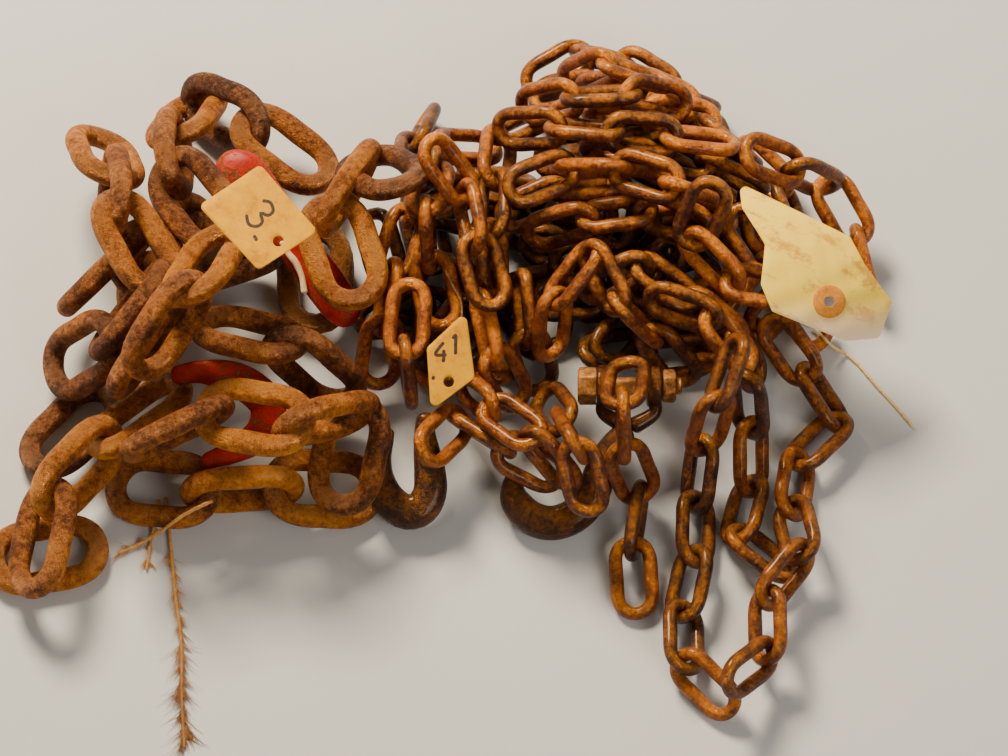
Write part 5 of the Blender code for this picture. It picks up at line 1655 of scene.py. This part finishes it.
def number_strokes(tag, marks):
    """Each stroke's route in the picture, turned and set in place, as a flat bar on the tag."""
    lift = TAGS[tag][2] / 2
    shapes = []
    for digit, middle, size, turn in marks:
        angle = math.radians(turn)
        turning = size * np.array(((math.cos(angle), -math.sin(angle)),
                                   (-math.sin(angle), -math.cos(angle))))
        for stroke in DIGITS[digit]:
            places = middle + stroke @ turning
            route = bar_route(np.column_stack((places, np.full(len(places), INK_WIDTH))), INK_STEP)
            bar = bar_surface(route, INK_THICKNESS, lambda flat: bends[tag](flat) + lift,
                              INK_STATIONS, flatness=2.0)
            shapes.append((bar, False))
    return shapes


# Each mark: its digit, its place in the photograph, its size and its turn in degrees.
MARKS = {"yellow_tag_upper": (("3", (263, 216), 1.15, -48), ("-", (258, 240), 0.8, -60)),
         "yellow_tag_lower": (("4", (441, 352), 0.75, 0), ("1", (455, 345), 0.75, 0),
                              ("-", (434, 378), 0.5, 75))}
for tag, marks in MARKS.items():
    points, faces, caps = joined(number_strokes(tag, marks))
    make_piece(tag + "_number", to_world(points), faces, ink, "yellow_plastic", (), caps)
print("numbers made")

# %% [markdown]
# ## Ties
#
# A flat strap of soiled white plastic holds the upper tag and a thin wire the lower one. Both are bars
# along short routes again, one nearly flat and one round.

# %% The two ties
PLASTIC_TIE = ((279, 240, 2.4), (286, 252, 3.2), (294, 262, 3.6), (300, 276, 3.0), (303, 293, 3.6))
WIRE_TIE = ((445, 270, 1.3), (453, 287, 1.3), (461, 303, 1.3), (460, 330, 1.3), (452, 360, 1.3),
            (449, 380, 1.3))
tie_plastic = Finish("soiled_tie_plastic", Roughness=0.4, Coat_Weight=0.2)
soil = tie_plastic.noise(220, 4, 0.6)
off_white = tie_plastic.ramp(soil, (0.35, (0.90, 0.72, 0.46)), (0.7, (0.62, 0.38, 0.16)))
tie_plastic.surface(off_white, height=soil, depth=0.0001)
tie_wire = Finish("tie_wire", Roughness=0.45, Metallic=0.6)
dull = tie_wire.noise(400, 3)
tie_wire.surface(tie_wire.ramp(dull, (0.35, (0.30, 0.15, 0.05)), (0.7, (0.72, 0.45, 0.16))))
# Each tie: its node, its route, its finish and slot, and how square its section is.
TIES = (("plastic_tie", PLASTIC_TIE, tie_plastic, "white_plastic", 3.0),
        ("wire_tie", WIRE_TIE, tie_wire, "twine", 2.0))
TIE_THICKNESS = 0.9
TIE_STATIONS = 48
for name, rows, finish, slot, squareness in TIES:
    route = bar_route(rows, FINE_STEP)
    grid = bar_surface(route, TIE_THICKNESS, node_height(name), TIE_STATIONS, squareness)
    points, faces, caps = joined([(grid, False)])
    make_piece(name + "_strap", to_world(points), faces, finish, slot, [name], caps)
print("ties made")

# %% [markdown]
# ## Floor and light
#
# A pale plain floor takes the shadows. One soft lamp from behind and above gives the long glints along
# the links, and a weaker, wider one in front opens the shadows. Lamps and sky are warm, as the light in
# the photograph is, and a floor that is painted a little blue comes out grey under them.

# %% Floor
FLOOR_HALF = 6.0
floor_mesh = bpy.data.meshes.new("floor")
corners = [(-FLOOR_HALF, -FLOOR_HALF, 0), (FLOOR_HALF, -FLOOR_HALF, 0), (FLOOR_HALF, FLOOR_HALF, 0),
           (-FLOOR_HALF, FLOOR_HALF, 0)]
floor_mesh.from_pydata(corners, [], [(0, 1, 2, 3)])
floor = new_object("floor", floor_mesh)
floor_paint = Finish("pale_floor", Roughness=0.8)
cloudy = floor_paint.ramp(floor_paint.noise(3.0), (0.3, (0.56, 0.60, 0.66)), (0.7, (0.60, 0.64, 0.70)))
floor_paint.surface(cloudy)
floor_mesh.materials.append(floor_paint.material)
print("floor laid")

# %% Lamps and sky
# Each lamp: its name, its place, its size in metres, its power in watts and its tint.
LAMPS = (("key", (-0.60, 1.25, 1.45), 0.6, 98.0, (1.0, 0.80, 0.55)),
         ("front", (0.9, -1.2, 1.3), 0.8, 15.0, (1.0, 0.88, 0.76)))
SKY_TINT = (0.84, 0.70, 0.52)
SKY_STRENGTH = 0.27
for name, place, size, power, tint in LAMPS:
    lamp_data = bpy.data.lights.new(name, "AREA")
    lamp_data.size = size
    lamp_data.energy = power
    lamp_data.color = tint
    lamp = new_object(name, lamp_data)
    lamp.location = place
    away = -np.array(place)
    lamp.rotation_euler = (math.atan2(math.hypot(away[0], away[1]), -away[2]), 0,
                           math.atan2(away[1], away[0]) - math.pi / 2)
world = bpy.data.worlds.new("studio")
world.use_nodes = True
sky = world.node_tree.nodes["Background"]
sky.inputs["Color"].default_value = (*SKY_TINT, 1)
sky.inputs["Strength"].default_value = SKY_STRENGTH
bpy.context.scene.world = world
print("lamps:", [lamp[0] for lamp in LAMPS])
